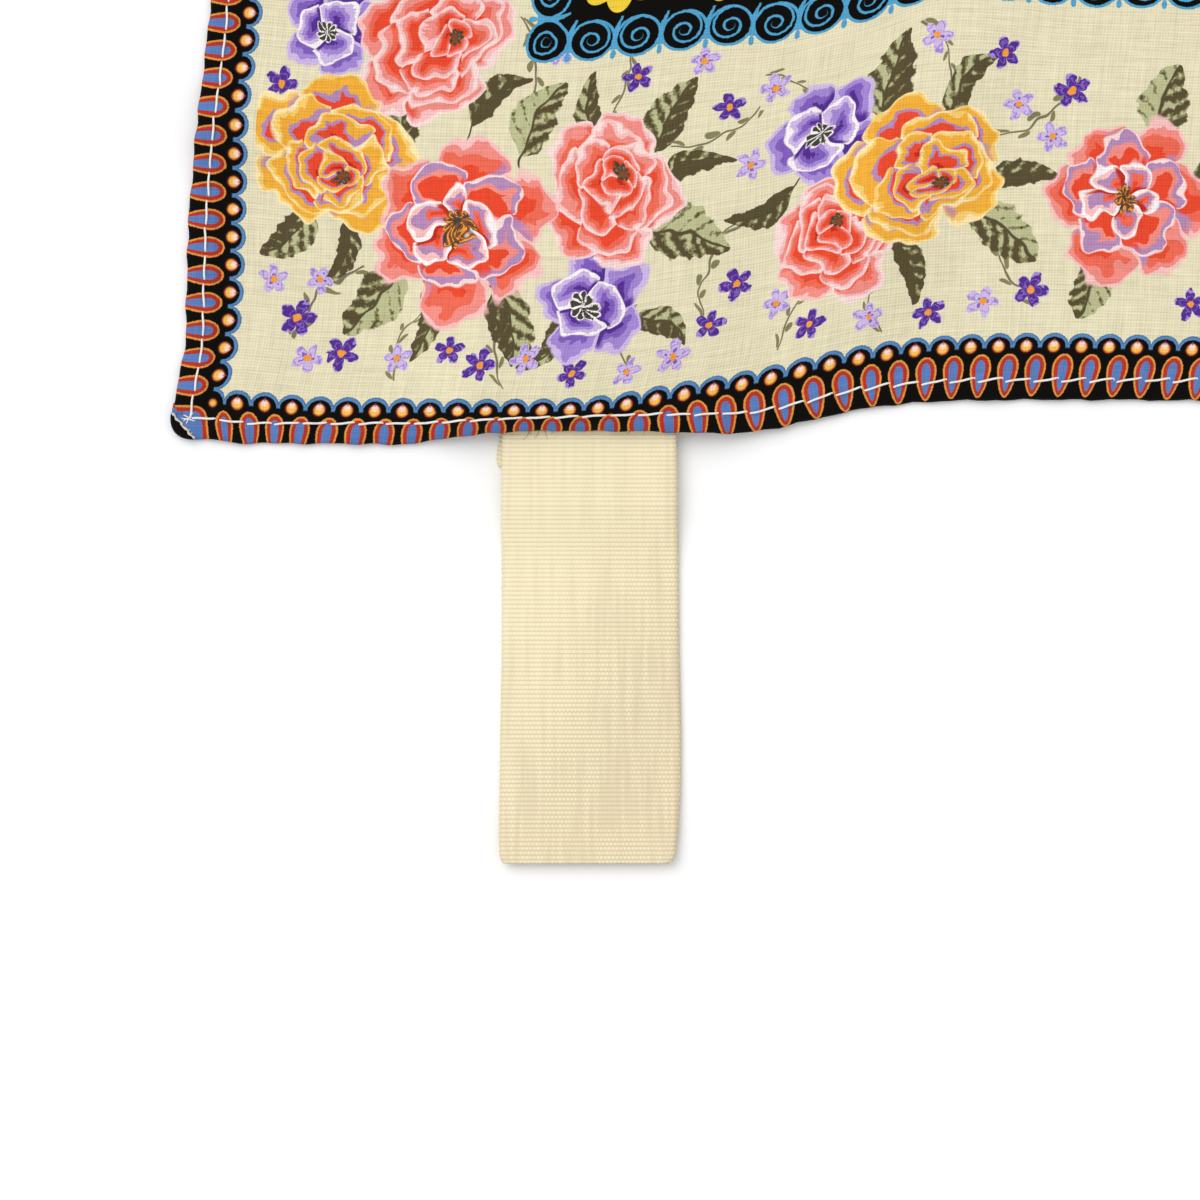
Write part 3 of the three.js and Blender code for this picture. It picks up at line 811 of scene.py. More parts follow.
def peony(tree, colour, warp):
    """A wide open flower: three rings of petals and a golden heart."""
    x, y, _ = bloom(tree, "peony", warp)
    brush = strokes(tree, x, y)
    outer = [(0.0, "pale pink"), (0.07, "light coral"), (0.2, "coral"), (0.4, "coral red"),
             (0.85, "deep red")]
    colour = petals(tree, colour, x, y, brush, 6, 1.0, 0.4, outer, "lilac", 0.26, 0.12)
    middle = [(0.0, "blush"), (0.08, "lilac"), (0.26, "light coral"), (0.4, "coral red"), (0.8, "deep red")]
    colour = petals(tree, colour, x + 0.04, y - 0.03, brush, 5, 0.72, 0.15, middle, "coral red", 0.24)
    inner = [(0.0, "white"), (0.13, "pale pink"), (0.26, "lilac"), (0.46, "coral"), (0.66, "coral red")]
    colour = petals(tree, colour, x + 0.07, y - 0.06, brush, 5, 0.46, 0.6, inner, "deep red", 0.26)
    heart = [(0.0, "brown"), (0.2, "gold eye"), (0.36, "brown"), (0.6, "eye"), (0.8, "brown")]
    return petals(tree, colour, x + 0.08, y - 0.05, brush * 2.6, 9, 0.2, 0.0, heart, "eye", 0.3)


AMBER_STOPS = [(0.0, "pale amber"), (0.05, "light amber"), (0.12, "amber"), (0.32, "lilac"),
               (0.42, "coral red"), (0.7, "deep red")]
ROSE_STOPS = [(0.0, "blush"), (0.07, "pale pink"), (0.15, "light coral"), (0.3, "coral"), (0.44, "coral red"),
              (0.8, "deep red")]


def rose(tree, colour, kind, stops, shadow, warp):
    """A cupped rose with its heart off to one side, in the inks that it is given."""
    x, y, _ = bloom(tree, kind, warp)
    y = y * 0.84
    brush = strokes(tree, x, y)
    # how many petals a ring has, its size, its turn and how far off the bloom's middle it is
    rings = [(5, 1.0, 0.3, 0.0), (4, 0.8, 0.75, 0.05), (4, 0.62, 0.2, 0.11), (3, 0.44, 0.6, 0.17),
             (3, 0.28, 0.1, 0.2)]
    for count, size, turn, off in rings:
        colour = petals(tree, colour, x + off, y + off * 0.7, brush, count, size, turn, stops, shadow)
    heart = [(0.0, "brown"), (0.22, "eye"), (0.6, "olive"), (0.74, "eye")]
    return petals(tree, colour, x + 0.24, y + 0.17, brush * 2, 7, 0.14, 0.0, heart, "brown", 0.3)


def anemone(tree, colour, warp):
    """A violet flower of two rings with a striped eye."""
    x, y, _ = bloom(tree, "anemone", warp)
    brush = strokes(tree, x, y, 3.2)
    outer = [(0.0, "pale lilac"), (0.12, "soft violet"), (0.34, "violet"), (0.6, "deep violet")]
    colour = petals(tree, colour, x, y, brush, 5, 1.0, 0.5, outer, "deep violet", 0.26, 0.1)
    inner = [(0.0, "white"), (0.14, "pale lilac"), (0.34, "soft violet"), (0.56, "violet"),
             (0.8, "deep violet")]
    colour = petals(tree, colour, x + 0.1, y - 0.06, brush, 3, 0.66, 0.7, inner, "deep violet", 0.22)
    heart = [(0.0, "white"), (0.2, "eye"), (0.66, "olive"), (0.78, "eye")]
    return petals(tree, colour, x + 0.12, y - 0.05, brush * 2.2, 9, 0.24, 0.0, heart, "eye", 0.3)


def violet(tree, colour, warp):
    """A small five-petalled flower, deep violet or, by its tint, pale."""
    x, y, tint = bloom(tree, "violet", warp)
    u, v, _ = read(tree, "print")
    reach = distance(x, y)
    brush = cloud(tree, vector(tree, u, v), 1.1, 1.0) - 0.5
    lobe = do("ABSOLUTE", do("COSINE", do("MULTIPLY_ADD", do("ARCTAN2", y, x), 2.5, 0.3)))
    share = do("DIVIDE", reach + brush * 0.35, do("MULTIPLY_ADD", do("POWER", lobe, 0.8), 0.62, 0.38))
    deep_stops = [(0.0, "deep violet"), (0.5, "violet"), (0.62, "deep violet"), (0.9, "soft violet")]
    pale_stops = [(0.0, "violet"), (0.3, "pale lilac"), (0.7, "soft violet"), (0.84, "pale lilac")]
    deep = shades(share + brush * 0.7, deep_stops, hard=True)
    pale = shades(share + brush * 0.8, pale_stops, hard=True)
    tone = over(tree, deep, pale, tint)
    colour = over(tree, colour, tone, ease(share, 1.04, 0.96))
    return over(tree, colour, INK["gold eye"], ease(reach + brush * 0.3, 0.24, 0.18))


def leaf(tree, colour, name, warp, wide, bow, dark):
    """A toothed leaf, its stalk at x = -1 and its tip at x = 1, darker on one side of the midrib. wide is its
    width as a share of a broad leaf's, bow bends it and dark is how much darker it is."""
    x, y, tint = bloom(tree, name, warp)
    u, v, _ = read(tree, "print")
    brush = cloud(tree, vector(tree, u, v), 1.3, 2.0) - 0.5
    y = y + x * x * bow
    side = do("ABSOLUTE", y)
    teeth = do("PINGPONG", x - side * 0.5, 0.19)
    root = do("POWER", do("MAXIMUM", 1.0 - x * x, 0.0), 0.7)
    width = root * (0.5 - x * 0.16 + teeth * 0.36 + brush * 0.22) * wide
    share = do("DIVIDE", side, do("MAXIMUM", width, 0.01))
    vein = do("PINGPONG", x - side * 1.0, 0.2)
    lit = vein * 2.4 - share * 0.15 + brush * 0.9 + ease(y, -0.02, 0.02) * 0.3 - tint * 0.2 - dark
    tone = shades(lit, [(0.0, "dark leaf"), (0.26, "olive"), (0.4, "sage")], hard=True)
    tone = over(tree, tone, INK["dark leaf"], ease(side + brush * 0.03, 0.05, 0.02))
    cover = ease(share, 1.04, 0.96) * ease(do("ABSOLUTE", x), 1.0, 0.98)
    stalk = ease(side, 0.045, 0.025) * ease(do("ABSOLUTE", x + 1.05), 0.34, 0.3)
    colour = over(tree, colour, INK["dark leaf"], stalk)
    return over(tree, colour, tone, cover)


def spray(tree, colour, warp):
    """A thin curved stem with small leaves on alternate sides."""
    x, y, _ = bloom(tree, "spray", warp)
    bend = y - x * x * 0.3
    inside = ease(do("ABSOLUTE", x), 1.0, 0.97)
    stem = ease(do("ABSOLUTE", bend), 0.034, 0.016)
    step = do("FRACT", x * 3.0)
    turned = do("PINGPONG", do("FLOOR", x * 3.0), 1.0) * 2.0 - 1.0
    a = (step - 0.5) * 0.333
    b = bend * turned - 0.11
    slant = distance(a * 0.8 - b * 0.9, (b * 0.8 + a * 0.5) * 3.0)
    colour = over(tree, colour, INK["dark leaf"], stem * inside * 0.85)
    return over(tree, colour, INK["olive"], ease(slant, 0.17, 0.14) * inside)


# %% [markdown]
# ## Where the flowers grow
# The photograph shows one corner's flowers and a little of the side's. Here a garland of the same kinds fills
# each corner, and one repeat runs along each side; the layout is this scarf's own. A table lists the blooms
# in the print's own millimetres. Each face of the cloth is told which bloom of each kind is nearest and where
# its own corners lie about that bloom's centre, so that the shader has one flower of each kind to draw, and
# every flower can be placed, turned and sized by hand. Drawing each of several hundred blooms in the shader
# would make it far too slow.

# %% The garland
# For each kind of bloom: how far along the side, how far in from the dots, its size (a radius or half a
# length), its turn in degrees, and its tint. Blooms of one kind may touch but not overlap.
CORNER_GARLAND = {
    "peony": [(33, 26, 13.4, 20, 0)],
    "amber": [(14, 36.5, 10.8, 70, 0)],
    "rose": [(54, 30.5, 10, 200, 0), (27, 52.5, 10.6, 140, 0)],
    "anemone": [(52, 15, 8.0, 30, 0), (12.5, 54.5, 7.2, 80, 0)],
    "violet": [(10, 13.0, 2.7, 10, 0), (17, 8.2, 2.6, 60, 0), (6.2, 18.4, 2.3, 30, 1),
        (37, 6.8, 2.5, 5, 0), (64.5, 5.8, 2.5, 20, 1), (72.5, 14.6, 2.5, 45, 0),
        (43.6, 7.6, 2.3, 45, 1), (74, 31.5, 2.4, 0, 1), (6.0, 45.8, 2.4, 12, 0),
        (70.6, 40.5, 2.3, 30, 0), (45.4, 51.4, 2.3, 30, 1), (12.2, 7.2, 2.2, 0, 1),
        (12.6, 18.6, 2.2, 70, 1), (69.2, 9.4, 2.2, 15, 0), (57, 46.6, 2.2, 40, 0),
        (25.2, 7.6, 2.2, 35, 1), (50.6, 5.4, 2.2, 60, 0), (58.4, 4.8, 2.1, 10, 1),
        (66.4, 47.6, 2.2, 25, 1), (32.4, 8.8, 2.2, 20, 0)],
    "leaf": [(21, 15.5, 6.4, 232, 0), (41, 12, 6.0, 292, 1), (66, 23, 6.4, -20, 0),
        (8.6, 24.5, 5.2, 226, 1), (43, 42.5, 5.8, 62, 0), (62, 41, 5.4, 60, 1), (24.5, 42, 5.2, 74, 1)],
    "frond": [(29.5, 12.4, 5.6, 264, 0), (65.5, 33, 6.0, 12, 1), (16.5, 22, 5.0, 252, 1),
        (36.5, 45.5, 5.4, 40, 1), (50, 42.5, 5.2, 100, 0), (62.5, 11, 5.0, 330, 0),
        (46.5, 8.8, 4.8, 236, 0)],
    "spray": [(13, 16.5, 7.2, 230, 0), (68, 17.5, 7.0, 250, 0), (70, 36.5, 6.8, 20, 0),
        (38.5, 10, 6.8, 275, 0), (42, 50, 6.6, 100, 0), (55, 44.5, 6.0, 70, 0), (25, 9.5, 5.2, 256, 0),
        (57, 8.8, 5.2, 282, 0)],
}
SIDE_GARLAND = {
    "peony": [(51.5, 21.5, 12.2, 0, 0)],
    "amber": [(21.5, 26.5, 10.8, 100, 0)],
    "rose": [(9.4, 17.6, 8.6, 220, 0)],
    "anemone": [(8, 34, 8.2, 50, 0)],
    "violet": [(38, 8.4, 2.6, 5, 0), (31, 6.6, 2.4, 5, 1), (42.5, 37.5, 2.6, 40, 0),
        (35.2, 35.2, 2.3, 40, 1), (0, 42.5, 2.4, 40, 1), (23.4, 5.4, 2.3, 40, 0),
        (40.2, 30.5, 2.3, 40, 1), (6.4, 6.6, 2.3, 10, 0), (1.6, 10.8, 2.1, 40, 1),
        (14.6, 6.0, 2.2, 25, 1), (22.4, 44.6, 2.3, 0, 1), (32.4, 42.4, 2.3, 50, 0),
        (61, 6.6, 2.4, 250, 0), (66.4, 11.4, 2.3, 20, 1)],
    "leaf": [(34, 17, 6.2, -40, 0), (16.5, 40.5, 6.0, 80, 1), (56, 36, 5.8, 82, 0),
        (47.0, 9.0, 5.4, 250, 0)],
    "frond": [(-1.0, 23.8, 5.4, 196, 1), (27, 38.8, 5.8, 52, 0), (21, 12.4, 5.4, 288, 1),
        (36, 25.5, 5.6, 2, 1), (66, 28.5, 5.6, 12, 1)],
    "spray": [(34.5, 11, 7.0, 300, 0), (39, 33.5, 7.0, 40, 0), (4, 41.5, 6.4, 130, 0),
        (4.5, 9.5, 6.0, 235, 0), (14.8, 8.6, 5.0, 280, 0), (24, 42.8, 5.6, 118, 0)],
}
SIDE_STARTS = (77, 156, 235, 314, 393)  # where the sides' repeat starts along each side


def all_blooms():
    """Each kind's blooms as rows of u, v, size, turn and tint, with the garland on all four sides."""
    rows = {kind: [] for kind in CORNER_GARLAND}
    for start, garland in [(0, CORNER_GARLAND), *((start, SIDE_GARLAND) for start in SIDE_STARTS)]:
        placed = [(kind, *row) for kind, table in garland.items() for row in table]
        for kind, a, b, size, turn, tint in placed:
            u, v = a + start, b
            for quarter in range(4):
                rows[kind].append((u, v, size, math.radians(turn + 90 * quarter), tint))
                u, v = PRINT_SIDE - v, u
    return {kind: np.array(table) for kind, table in rows.items()}


BLOOMS = all_blooms()
print("blooms:", {kind: len(table) for kind, table in BLOOMS.items()})


def corner_places(mesh, print_at):
    """The print's place at each face corner. Every face has four."""
    corners = np.empty(len(mesh.loops), int)
    mesh.loops.foreach_get("vertex_index", corners)
    return print_at[corners, :2]


def nearest_blooms(kind, place):
    """For each face corner, its place about the bloom of this kind nearest to its face."""
    u, v, size, turn, tint = BLOOMS[kind].T
    middle = place.reshape(-1, 4, 2).mean(1)
    far = (middle[:, :1] - u) ** 2 + (middle[:, 1:] - v) ** 2
    pick = np.repeat((far / size**2).argmin(1), 4)
    away_u, away_v = place[:, 0] - u[pick], place[:, 1] - v[pick]
    c, s = np.cos(turn[pick]), np.sin(turn[pick])
    x = (away_u * c + away_v * s) / size[pick]
    y = (away_v * c - away_u * s) / size[pick]
    return np.stack([x, y, tint[pick]], -1)


def put(mesh, name, values, domain):
    """Stores three numbers under a name, at each vertex or face corner."""
    held = mesh.attributes.new(name, "FLOAT_VECTOR", domain)
    held.data.foreach_set("vector", np.asarray(values, np.float32).ravel())


# %% [markdown]
# ## The flower print and the middle's print
# The flowers are laid over each other in the order that a painter would take: stems and leaves first, the
# large blooms last, and then the black field over all of them. The middle of the scarf is a print of its own
# with far less in it, so the renderer doesn't look for flowers where there are none.

# %% Garden and field prints
LEAF_REPEAT = 30.0


def garden_paint(tree, u, v):
    """The garland on cream, with the black field laid over it."""
    warp = warping(tree)
    colour = spray(tree, INK["cream"], warp)
    colour = leaf(tree, colour, "leaf", warp, 1.0, 0.16, -0.1)
    colour = leaf(tree, colour, "frond", warp, 0.62, 0.34, 0.08)
    colour = violet(tree, colour, warp)
    colour = anemone(tree, colour, warp)
    colour = rose(tree, colour, "rose", ROSE_STOPS, "coral red", warp)
    colour = rose(tree, colour, "amber", AMBER_STOPS, "lilac", warp)
    colour = peony(tree, colour, warp)
    return black_field(tree, u, v, colour)


def field_paint(tree, u, v):
    """The middle of the scarf: black, with a sparse repeat of four small leaves."""
    half = PRINT_SIDE / 2
    a, b = do("PINGPONG", u - half, LEAF_REPEAT / 2), do("PINGPONG", v - half, LEAF_REPEAT / 2)
    petal = distance(a - b, (a + b) * 0.55 - 1.4)
    colour = over(tree, INK["black"], INK["yellow"], ease(petal, 1.0, 0.9))
    return over(tree, colour, INK["scroll blue"], ease(distance(a, b), 0.75, 0.65))


garden_material = cotton("flower print", garden_paint)
field_material = cotton("black field print", field_paint)

# %% [markdown]
# ## The cloth inside the hems
# The real cloth is one thin sheet, limp enough to lie in soft waves. A cloth simulation could lay it, but its
# edges wouldn't come out where the solids have them. So the open cloth is a grid of the print's own lines,
# close together at the corner that the camera sees. Each crossing is moved to where the laid cloth has it,
# with fine ripples that the hems' stitching draws up. A Solidify modifier gives it the cotton's thickness,
# and its back is the same print, faded.

# %% Open cloth
CLOTH_THICK = 0.3
FINE_STEP = 1.7
WIDE_STEP = 3.4
FINE_UNTIL = 146  # along the bottom, just past what the camera sees
TUCKED_AT = 3.4  # how far in from the fold the cloth's edge goes under the hem
HEM_LINE = 4.7  # how far in from the fold the hem's inner edge is
TUCK_LIFT = 0.3
GARDEN_START = 3.0  # where the border's material ends and the garden's starts
FIELD_START = 70.0
RIPPLE_AT_HEMS = 0.30
RIPPLE_FADES = 9
RIPPLE_INSIDE = 0.42


def ripples(u, v):
    """Small uneven waves, strongest beside the hems, never below the table."""
    depth = np.minimum(np.minimum(u, PRINT_SIDE - u), np.minimum(v, PRINT_SIDE - v))
    side = np.where(np.minimum(v, PRINT_SIDE - v) < np.minimum(u, PRINT_SIDE - u), u, v)
    near = np.exp(-np.maximum(depth, 0) / RIPPLE_FADES)
    drawn = np.sin(side * 0.47 + 1.3 * np.sin(side * 0.113)) * np.sin(side * 0.171 + 0.8)
    broad = np.sin(u * 0.098 + 0.9 * np.sin(v * 0.061)) * np.sin(v * 0.083 + 1.1 * np.sin(u * 0.047) + 0.6)
    return RIPPLE_AT_HEMS * near * (1 + drawn) * 0.5 + RIPPLE_INSIDE * (1 + broad) * 0.5 * (1 - 0.6 * near)


def side_lines(fine_until):
    """The grid's lines across one side: a fixed place plus shares of the near and far edges."""
    near = [(TUCKED_AT, 1, 0), (HEM_LINE, 1, 0)]
    near += [((1 - s) * HEM_LINE + s * GARDEN_START, 1 - s, 0) for s in (0.33, 0.67)]
    far = [(-TUCKED_AT, 0, 1), (-HEM_LINE, 0, 1)]
    far += [((1 - s) * -HEM_LINE + s * (PRINT_SIDE - GARDEN_START), 0, 1 - s) for s in (0.33, 0.67)]
    stops = [GARDEN_START, fine_until, PRINT_SIDE - FIELD_START, PRINT_SIDE - GARDEN_START]
    steps = [FINE_STEP, WIDE_STEP, WIDE_STEP]
    if fine_until > FIELD_START:
        stops.insert(1, FIELD_START)
        steps.insert(0, FINE_STEP)
    middle = [GARDEN_START]
    for start, end, step in zip(stops, stops[1:], steps):
        count = max(1, round((end - start) / step))
        middle += [start + (end - start) * (k + 1) / count for k in range(count)]
    return np.array(near + [(place, 0, 0) for place in middle] + far[::-1])


def open_cloth():
    """The cloth inside the hems, with its print's places and its nearest blooms stored on it."""
    lines_u, lines_v = side_lines(FINE_UNTIL), side_lines(FIELD_START)
    last_u, last_v = len(lines_u) - 1, len(lines_v) - 1
    bm, at = grid(last_u, last_v)
    column, row = np.rint(at * (last_u, last_v)).astype(int).T
    u, v = lines_u[column, 0], lines_v[row, 0]
    for _ in range(3):
        u = lines_u[column, 0] + lines_u[column, 1] * left_edge(v) + lines_u[column, 2] * right_edge(v)
        v = lines_v[row, 0] + lines_v[row, 1] * bottom_edge(u) + lines_v[row, 2] * top_edge(u)
    x, y, z = lay(u, v)
    tucked = (column == 0) | (row == 0) | (column == last_u) | (row == last_v)
    move_to(bm, x, y, z + ripples(u, v) + TUCK_LIFT * tucked)
    cloth = new_object("open_cloth", bm)
    mesh = cloth.data
    print_at = printed(u, v)
    put(mesh, "print", print_at, "POINT")
    place = corner_places(mesh, print_at)
    for kind in BLOOMS:
        put(mesh, kind, nearest_blooms(kind, place), "CORNER")
    middle = place.reshape(-1, 4, 2).mean(1)
    depth = np.minimum(middle, PRINT_SIDE - middle).min(1)
    which = (depth > GARDEN_START).astype(np.int32) + (depth > FIELD_START)
    mesh.polygons.foreach_set("material_index", which)
    return cloth


cloth = open_cloth()
fronts = [border_material, garden_material, field_material]
for material in [*fronts, *map(from_behind, fronts)]:
    cloth.data.materials.append(material)
thicken(cloth, CLOTH_THICK).material_offset = len(fronts)
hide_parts("cloth_panel")
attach(cloth, "root")
print(f"open cloth: {len(cloth.data.polygons)} faces before its thickness")

# %% [markdown]
# ## The hems
# A hem is the cloth's own edge turned under twice, so it is a soft flat roll with a rounded fold outside. A
# bevelled curve could follow the edge, but its section couldn't change along the way. So a grid is rolled
# into a tube: one way runs along the side, the other goes round the section. The section is a table of
# points, each with the place on the print that shows there.

# %% Hems
HEM_THICK = 0.95
HEM_STEP = 2.2  # along the side
FINE_STATIONS = 90  # how many more the two sides by the camera have
CROWDING = 0.58  # and how strongly those stand closer together near its corner
CORNER_RADIUS = 2.8
STITCH_PITCH = DOT_PITCH  # the stitches happen to keep step with the dots

# Each row is the distance in from the fold, the height as a share of the hem's thickness, and how far round
# the fold the print there is.
HEM_SECTION = [
    (4.95, 0.27, 4.95), (4.6, 0.36, 4.6), (4.3, 0.55, 4.3), (4.0, 0.78, 4.0), (3.5, 0.95, 3.5),
    (2.9, 0.93, 2.9), (2.2, 1.0, 2.2), (1.4, 1.0, 1.4), (0.75, 0.92, 0.75), (0.28, 0.76, 0.3),
    (0.0, 0.46, 0.0), (0.22, 0.16, -0.3), (0.7, 0.02, -0.8), (1.6, 0.0, -1.7), (3.0, 0.0, -3.0),
    (4.2, 0.0, -4.2), (4.5, 0.14, -4.5),
]
HEM_REACH = HEM_SECTION[0][0]
HEM_OVERLAP = 0.6
LYING = 4.4  # past this the hem's edge lies on the cloth and doesn't puff up


def crossed(across, along_side, off_side):
    """A place along and off a side as u and v. across is true for the sides that run with u."""
    return (along_side, off_side) if across else (off_side, along_side)


def hem_band(name, start, end, edge, inwards, across):
    """A hem from start to end along its side. inwards is 1 at the near sides and -1 at the far ones. The
    sides that run across have the rounded corners, and the other two end under them."""
    fine = inwards > 0
    count = int((end - start) / HEM_STEP) + (FINE_STATIONS if fine else 0)
    share = np.linspace(0, 1, count + 1)
    if fine:
        share = share * (1 - CROWDING + CROWDING * share)
    ring = len(HEM_SECTION)
    bm, at = grid(count, ring)
    station, point = np.rint(at * (count, ring)).astype(int).T
    w, h, shown = np.array(HEM_SECTION)[point % ring].T
    s = start + (end - start) * share[station]

    from_end = np.minimum(s - start, end - s) if across else 0 * s + CORNER_RADIUS
    round_off = CORNER_RADIUS - np.sqrt(CORNER_RADIUS**2 - np.maximum(0, CORNER_RADIUS - from_end) ** 2)
    w = round_off + w * (HEM_REACH - round_off) / HEM_REACH
    wobble = 0.10 * np.sin(s * 0.83 + np.sin(s * 0.31)) + 0.07 * np.sin(s * 1.57 + 2)
    w = w + wobble * (1 - smooth(w, 0.2, 3.0))
    gathered = 0.07 * np.sin(s * 2 * math.pi / STITCH_PITCH)
    puff = 1 + 0.10 * np.sin(s * 1.21 + 1.7 * np.sin(s * 0.37)) + gathered
    height = HEM_THICK * h * np.where(w < LYING, puff, 1)

    u, v = crossed(across, s, edge(s) + inwards * w)
    x, y, z = lay(u, v)
    move_to(bm, x, y, z + height + ripples(u, v) * smooth(h, 0, 0.3))
    layer = bm.verts.layers.float_vector.new("print")
    for vert, place in zip(bm.verts, printed(*crossed(across, s, edge(s) + inwards * shown))):
        vert[layer] = place
    close_up(bm)
    band = new_object(name, bm)
    band.data.materials.append(border_material)
    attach(band, "root")
    return band


def long_hem(name, edge, inwards):
    """The bottom or top hem, from corner to corner."""
    start, end = float(left_edge(edge(0.0))), float(right_edge(edge(PRINT_SIDE)))
    return hem_band(name, start, end, edge, inwards, True)


def short_hem(name, edge, inwards):
    """The left or right hem, which ends a little way under the other two."""
    low = float(bottom_edge(edge(0.0))) + HEM_WIDTH - HEM_OVERLAP
    high = float(top_edge(edge(0.0))) - HEM_WIDTH + HEM_OVERLAP
    return hem_band(name, low, high, edge, inwards, False)


hems = [
    long_hem("turned_hem_bottom", bottom_edge, 1),
    long_hem("turned_hem_top", top_edge, -1),
    short_hem("turned_hem_left", left_edge, 1),
    short_hem("turned_hem_right", right_edge, -1),
]
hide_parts("hem_bottom", "corner_bottom_left", "corner_bottom_right")
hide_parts("hem_top", "corner_top_left", "corner_top_right")
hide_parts("hem_left")
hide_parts("hem_right")
print("hem faces:", [len(hem.data.polygons) for hem in hems])

# %% [markdown]
# ## The care label
# The label is a stiff ribbed tape. Its ribs run across it and are wide enough to see from the side, so they
# are in the mesh, and the small grains along each rib are in the material. Its top end goes under the hem,
# and its turned-back end peeks out on the left. Both are strips of the same tape, so one function makes them
# from a table of rows.

# %% Label
# Each row is the place down the label, its left edge, its right edge and its height off the table.
LABEL_ROWS = [
    (-60.3, 46.6, 71.0, 1.1), (-59.9, 46.35, 71.4, 1.05), (-56, 46.3, 71.8, 0.7), (-50, 46.4, 72.2, 0.25),
    (-42, 46.5, 72.3, 0), (-30, 46.7, 72.0, 0), (-18.5, 46.7, 71.9, 0), (-15.5, 46.7, 71.9, 0.2),
    (-12, 46.6, 71.8, 0.75), (-9, 46.6, 71.8, 1.25), (-4, 46.7, 71.7, 1.3), (1, 46.8, 71.6, 1.3),
    (4, 46.9, 71.5, 1.3),
]
TUCK_ROWS = [(0, 0, 24.8, 0), (6.6, 0, 24.8, 0)]  # the turned-back end, in its own place
TUCK_CORNER = (45.7, -3.5)
TUCK_TURN = math.radians(-10)
RIB_PITCH = 0.64
RIB_HIGH = 0.04
RIB_STATIONS = 5  # rows of faces to a rib
TAPE_COLUMNS = 28
TAPE_THICK = 0.55
TAPE_RELIEF = 0.03
GRAIN_PITCH = 0.56
WAVE_HIGH = 0.12


def tape_material():
    """Cream tape: ribs across it, and grains that are set over by half a step from rib to rib."""
    material = new_material("label tape")
    tree = material.node_tree
    x, y, _ = read(tree, "tape")
    turns = 2 * math.pi / GRAIN_PITCH
    shift = do("ROUND", y * (1 / RIB_PITCH)) * (GRAIN_PITCH / 2)
    grain = do("SINE", (x + shift) * turns)
    rib = do("COSINE", y * (2 * math.pi / RIB_PITCH))
    patch = cloud(tree, vector(tree, x, y), 0.1, 2.0)
    threads = cloud(tree, vector(tree, x * 1.3, y * 0.07), 1.0, 2.0)
    strong = ease(patch + threads, 0.8, 1.15)  # where the grains stand out more than the ribs
    dot = ease(grain + rib, 0.3, 1.7) * strong
    # The tape's colour is made darker towards its lower right.
    lower_right_darkening = ease(x - y * 0.7, 60, 100) * 0.5
    # The rib term paints shade into the troughs between the ribs and light on their crests, over the ribs
    # that the mesh already has; through dot, the grains are lightest on the crests too.
    light = rib * 0.27 + dot * 0.45 + threads * 0.16 - lower_right_darkening + 0.62
    colour = shades(light, [(0.1, "tape shade"), (0.95, "tape")])
    cloth_finish(material, colour, threads * 0.2 + 0.4, grain * 0.3 + rib * 0.4, TAPE_RELIEF)
    return material


def label_wave(x, y):
    """How far the tape's soft waves lift it."""
    return WAVE_HIGH * (1 + np.sin(x * 0.35 + 1.0 + 0.03 * y))


def tape_strip(name, rows):
    """A strip of tape through a table of rows, with raised ribs, as a closed shell."""
    low, high = rows[0][0], rows[-1][0]
    bm, at = grid(TAPE_COLUMNS, int((high - low) / RIB_PITCH * RIB_STATIONS))
    y = low + (high - low) * at[:, 1]
    places = np.array(rows)
    left, right, z = (np.interp(y, places[:, 0], places[:, k]) for k in (1, 2, 3))
    rounding = np.exp(-((y - low) / 0.7) ** 2)
    x = left + (right - left) * (0.5 + (at[:, 0] - 0.5) * (1 - 0.03 * rounding))
    turns = 2 * math.pi / RIB_PITCH
    x = x + 0.05 * np.sin(y * turns) * (2 * at[:, 0] - 1) ** 9
    z = z + RIB_HIGH * np.cos(y * turns) * 0.5
    z = z + label_wave(x, y) * smooth(np.abs(y - low), 4, 20)
    move_to(bm, x, y, z + RIB_HIGH)
    tape = new_object(name, bm)
    put(tape.data, "tape", np.stack([x, y, 0 * x], -1), "POINT")
    tape.data.materials.append(label_material)
    thicken(tape, TAPE_THICK)
    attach(tape, "root")
    return tape


label_material = tape_material()
label = tape_strip("label_tape", LABEL_ROWS)
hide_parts("care_label")

tuck = tape_strip("label_turned_end", TUCK_ROWS)
c, s = math.cos(TUCK_TURN), math.sin(TUCK_TURN)
for vert in tuck.data.vertices:
    flat = (vert.co - DRAWING_ZERO) / MM
    turned = (TUCK_CORNER[0] + flat.x * c - flat.y * s, TUCK_CORNER[1] + flat.x * s + flat.y * c, flat.z)
    vert.co = Vector(turned) * MM + DRAWING_ZERO
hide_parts("label_tuck")
print(f"label: {len(label.data.polygons)} faces, {RIB_PITCH} mm ribs")

# %% [markdown]
# ## The stitching
# One line of white machine stitches holds each hem, four millimetres to a stitch. The thread dives through a
# needle hole after every stitch, and each stitch slants a little and ends with a small hop back. Each stitch
# could be an object of its own, but more than five hundred of them are slow to handle. The line is one grid
# rolled into a thread instead, whose path dips and whose thickness shrinks at every hole.

# %% Thread helpers
def thread(path, radius, sides):
    """A thread as a closed bmesh: a grid rolled into a tube round a path of points, in the drawing."""
    path, radius = np.asarray(path, float), np.broadcast_to(radius, len(path))
    run = np.gradient(path, axis=0)
    out = np.stack([run[:, 1], -run[:, 0], 0 * run[:, 0]], -1)
    out /= np.maximum(np.linalg.norm(out, axis=1, keepdims=True), 1e-9)
    bm, at = grid(len(path) - 1, sides)
    station = np.rint(at[:, 0] * (len(path) - 1)).astype(int)
    turn = at[:, 1] * 2 * math.pi
    place = path[station] + out[station] * (radius[station] * np.cos(turn))[:, None]
    place[:, 2] += radius[station] * np.sin(turn)
    move_to(bm, *place.T)
    close_up(bm)
    return bm


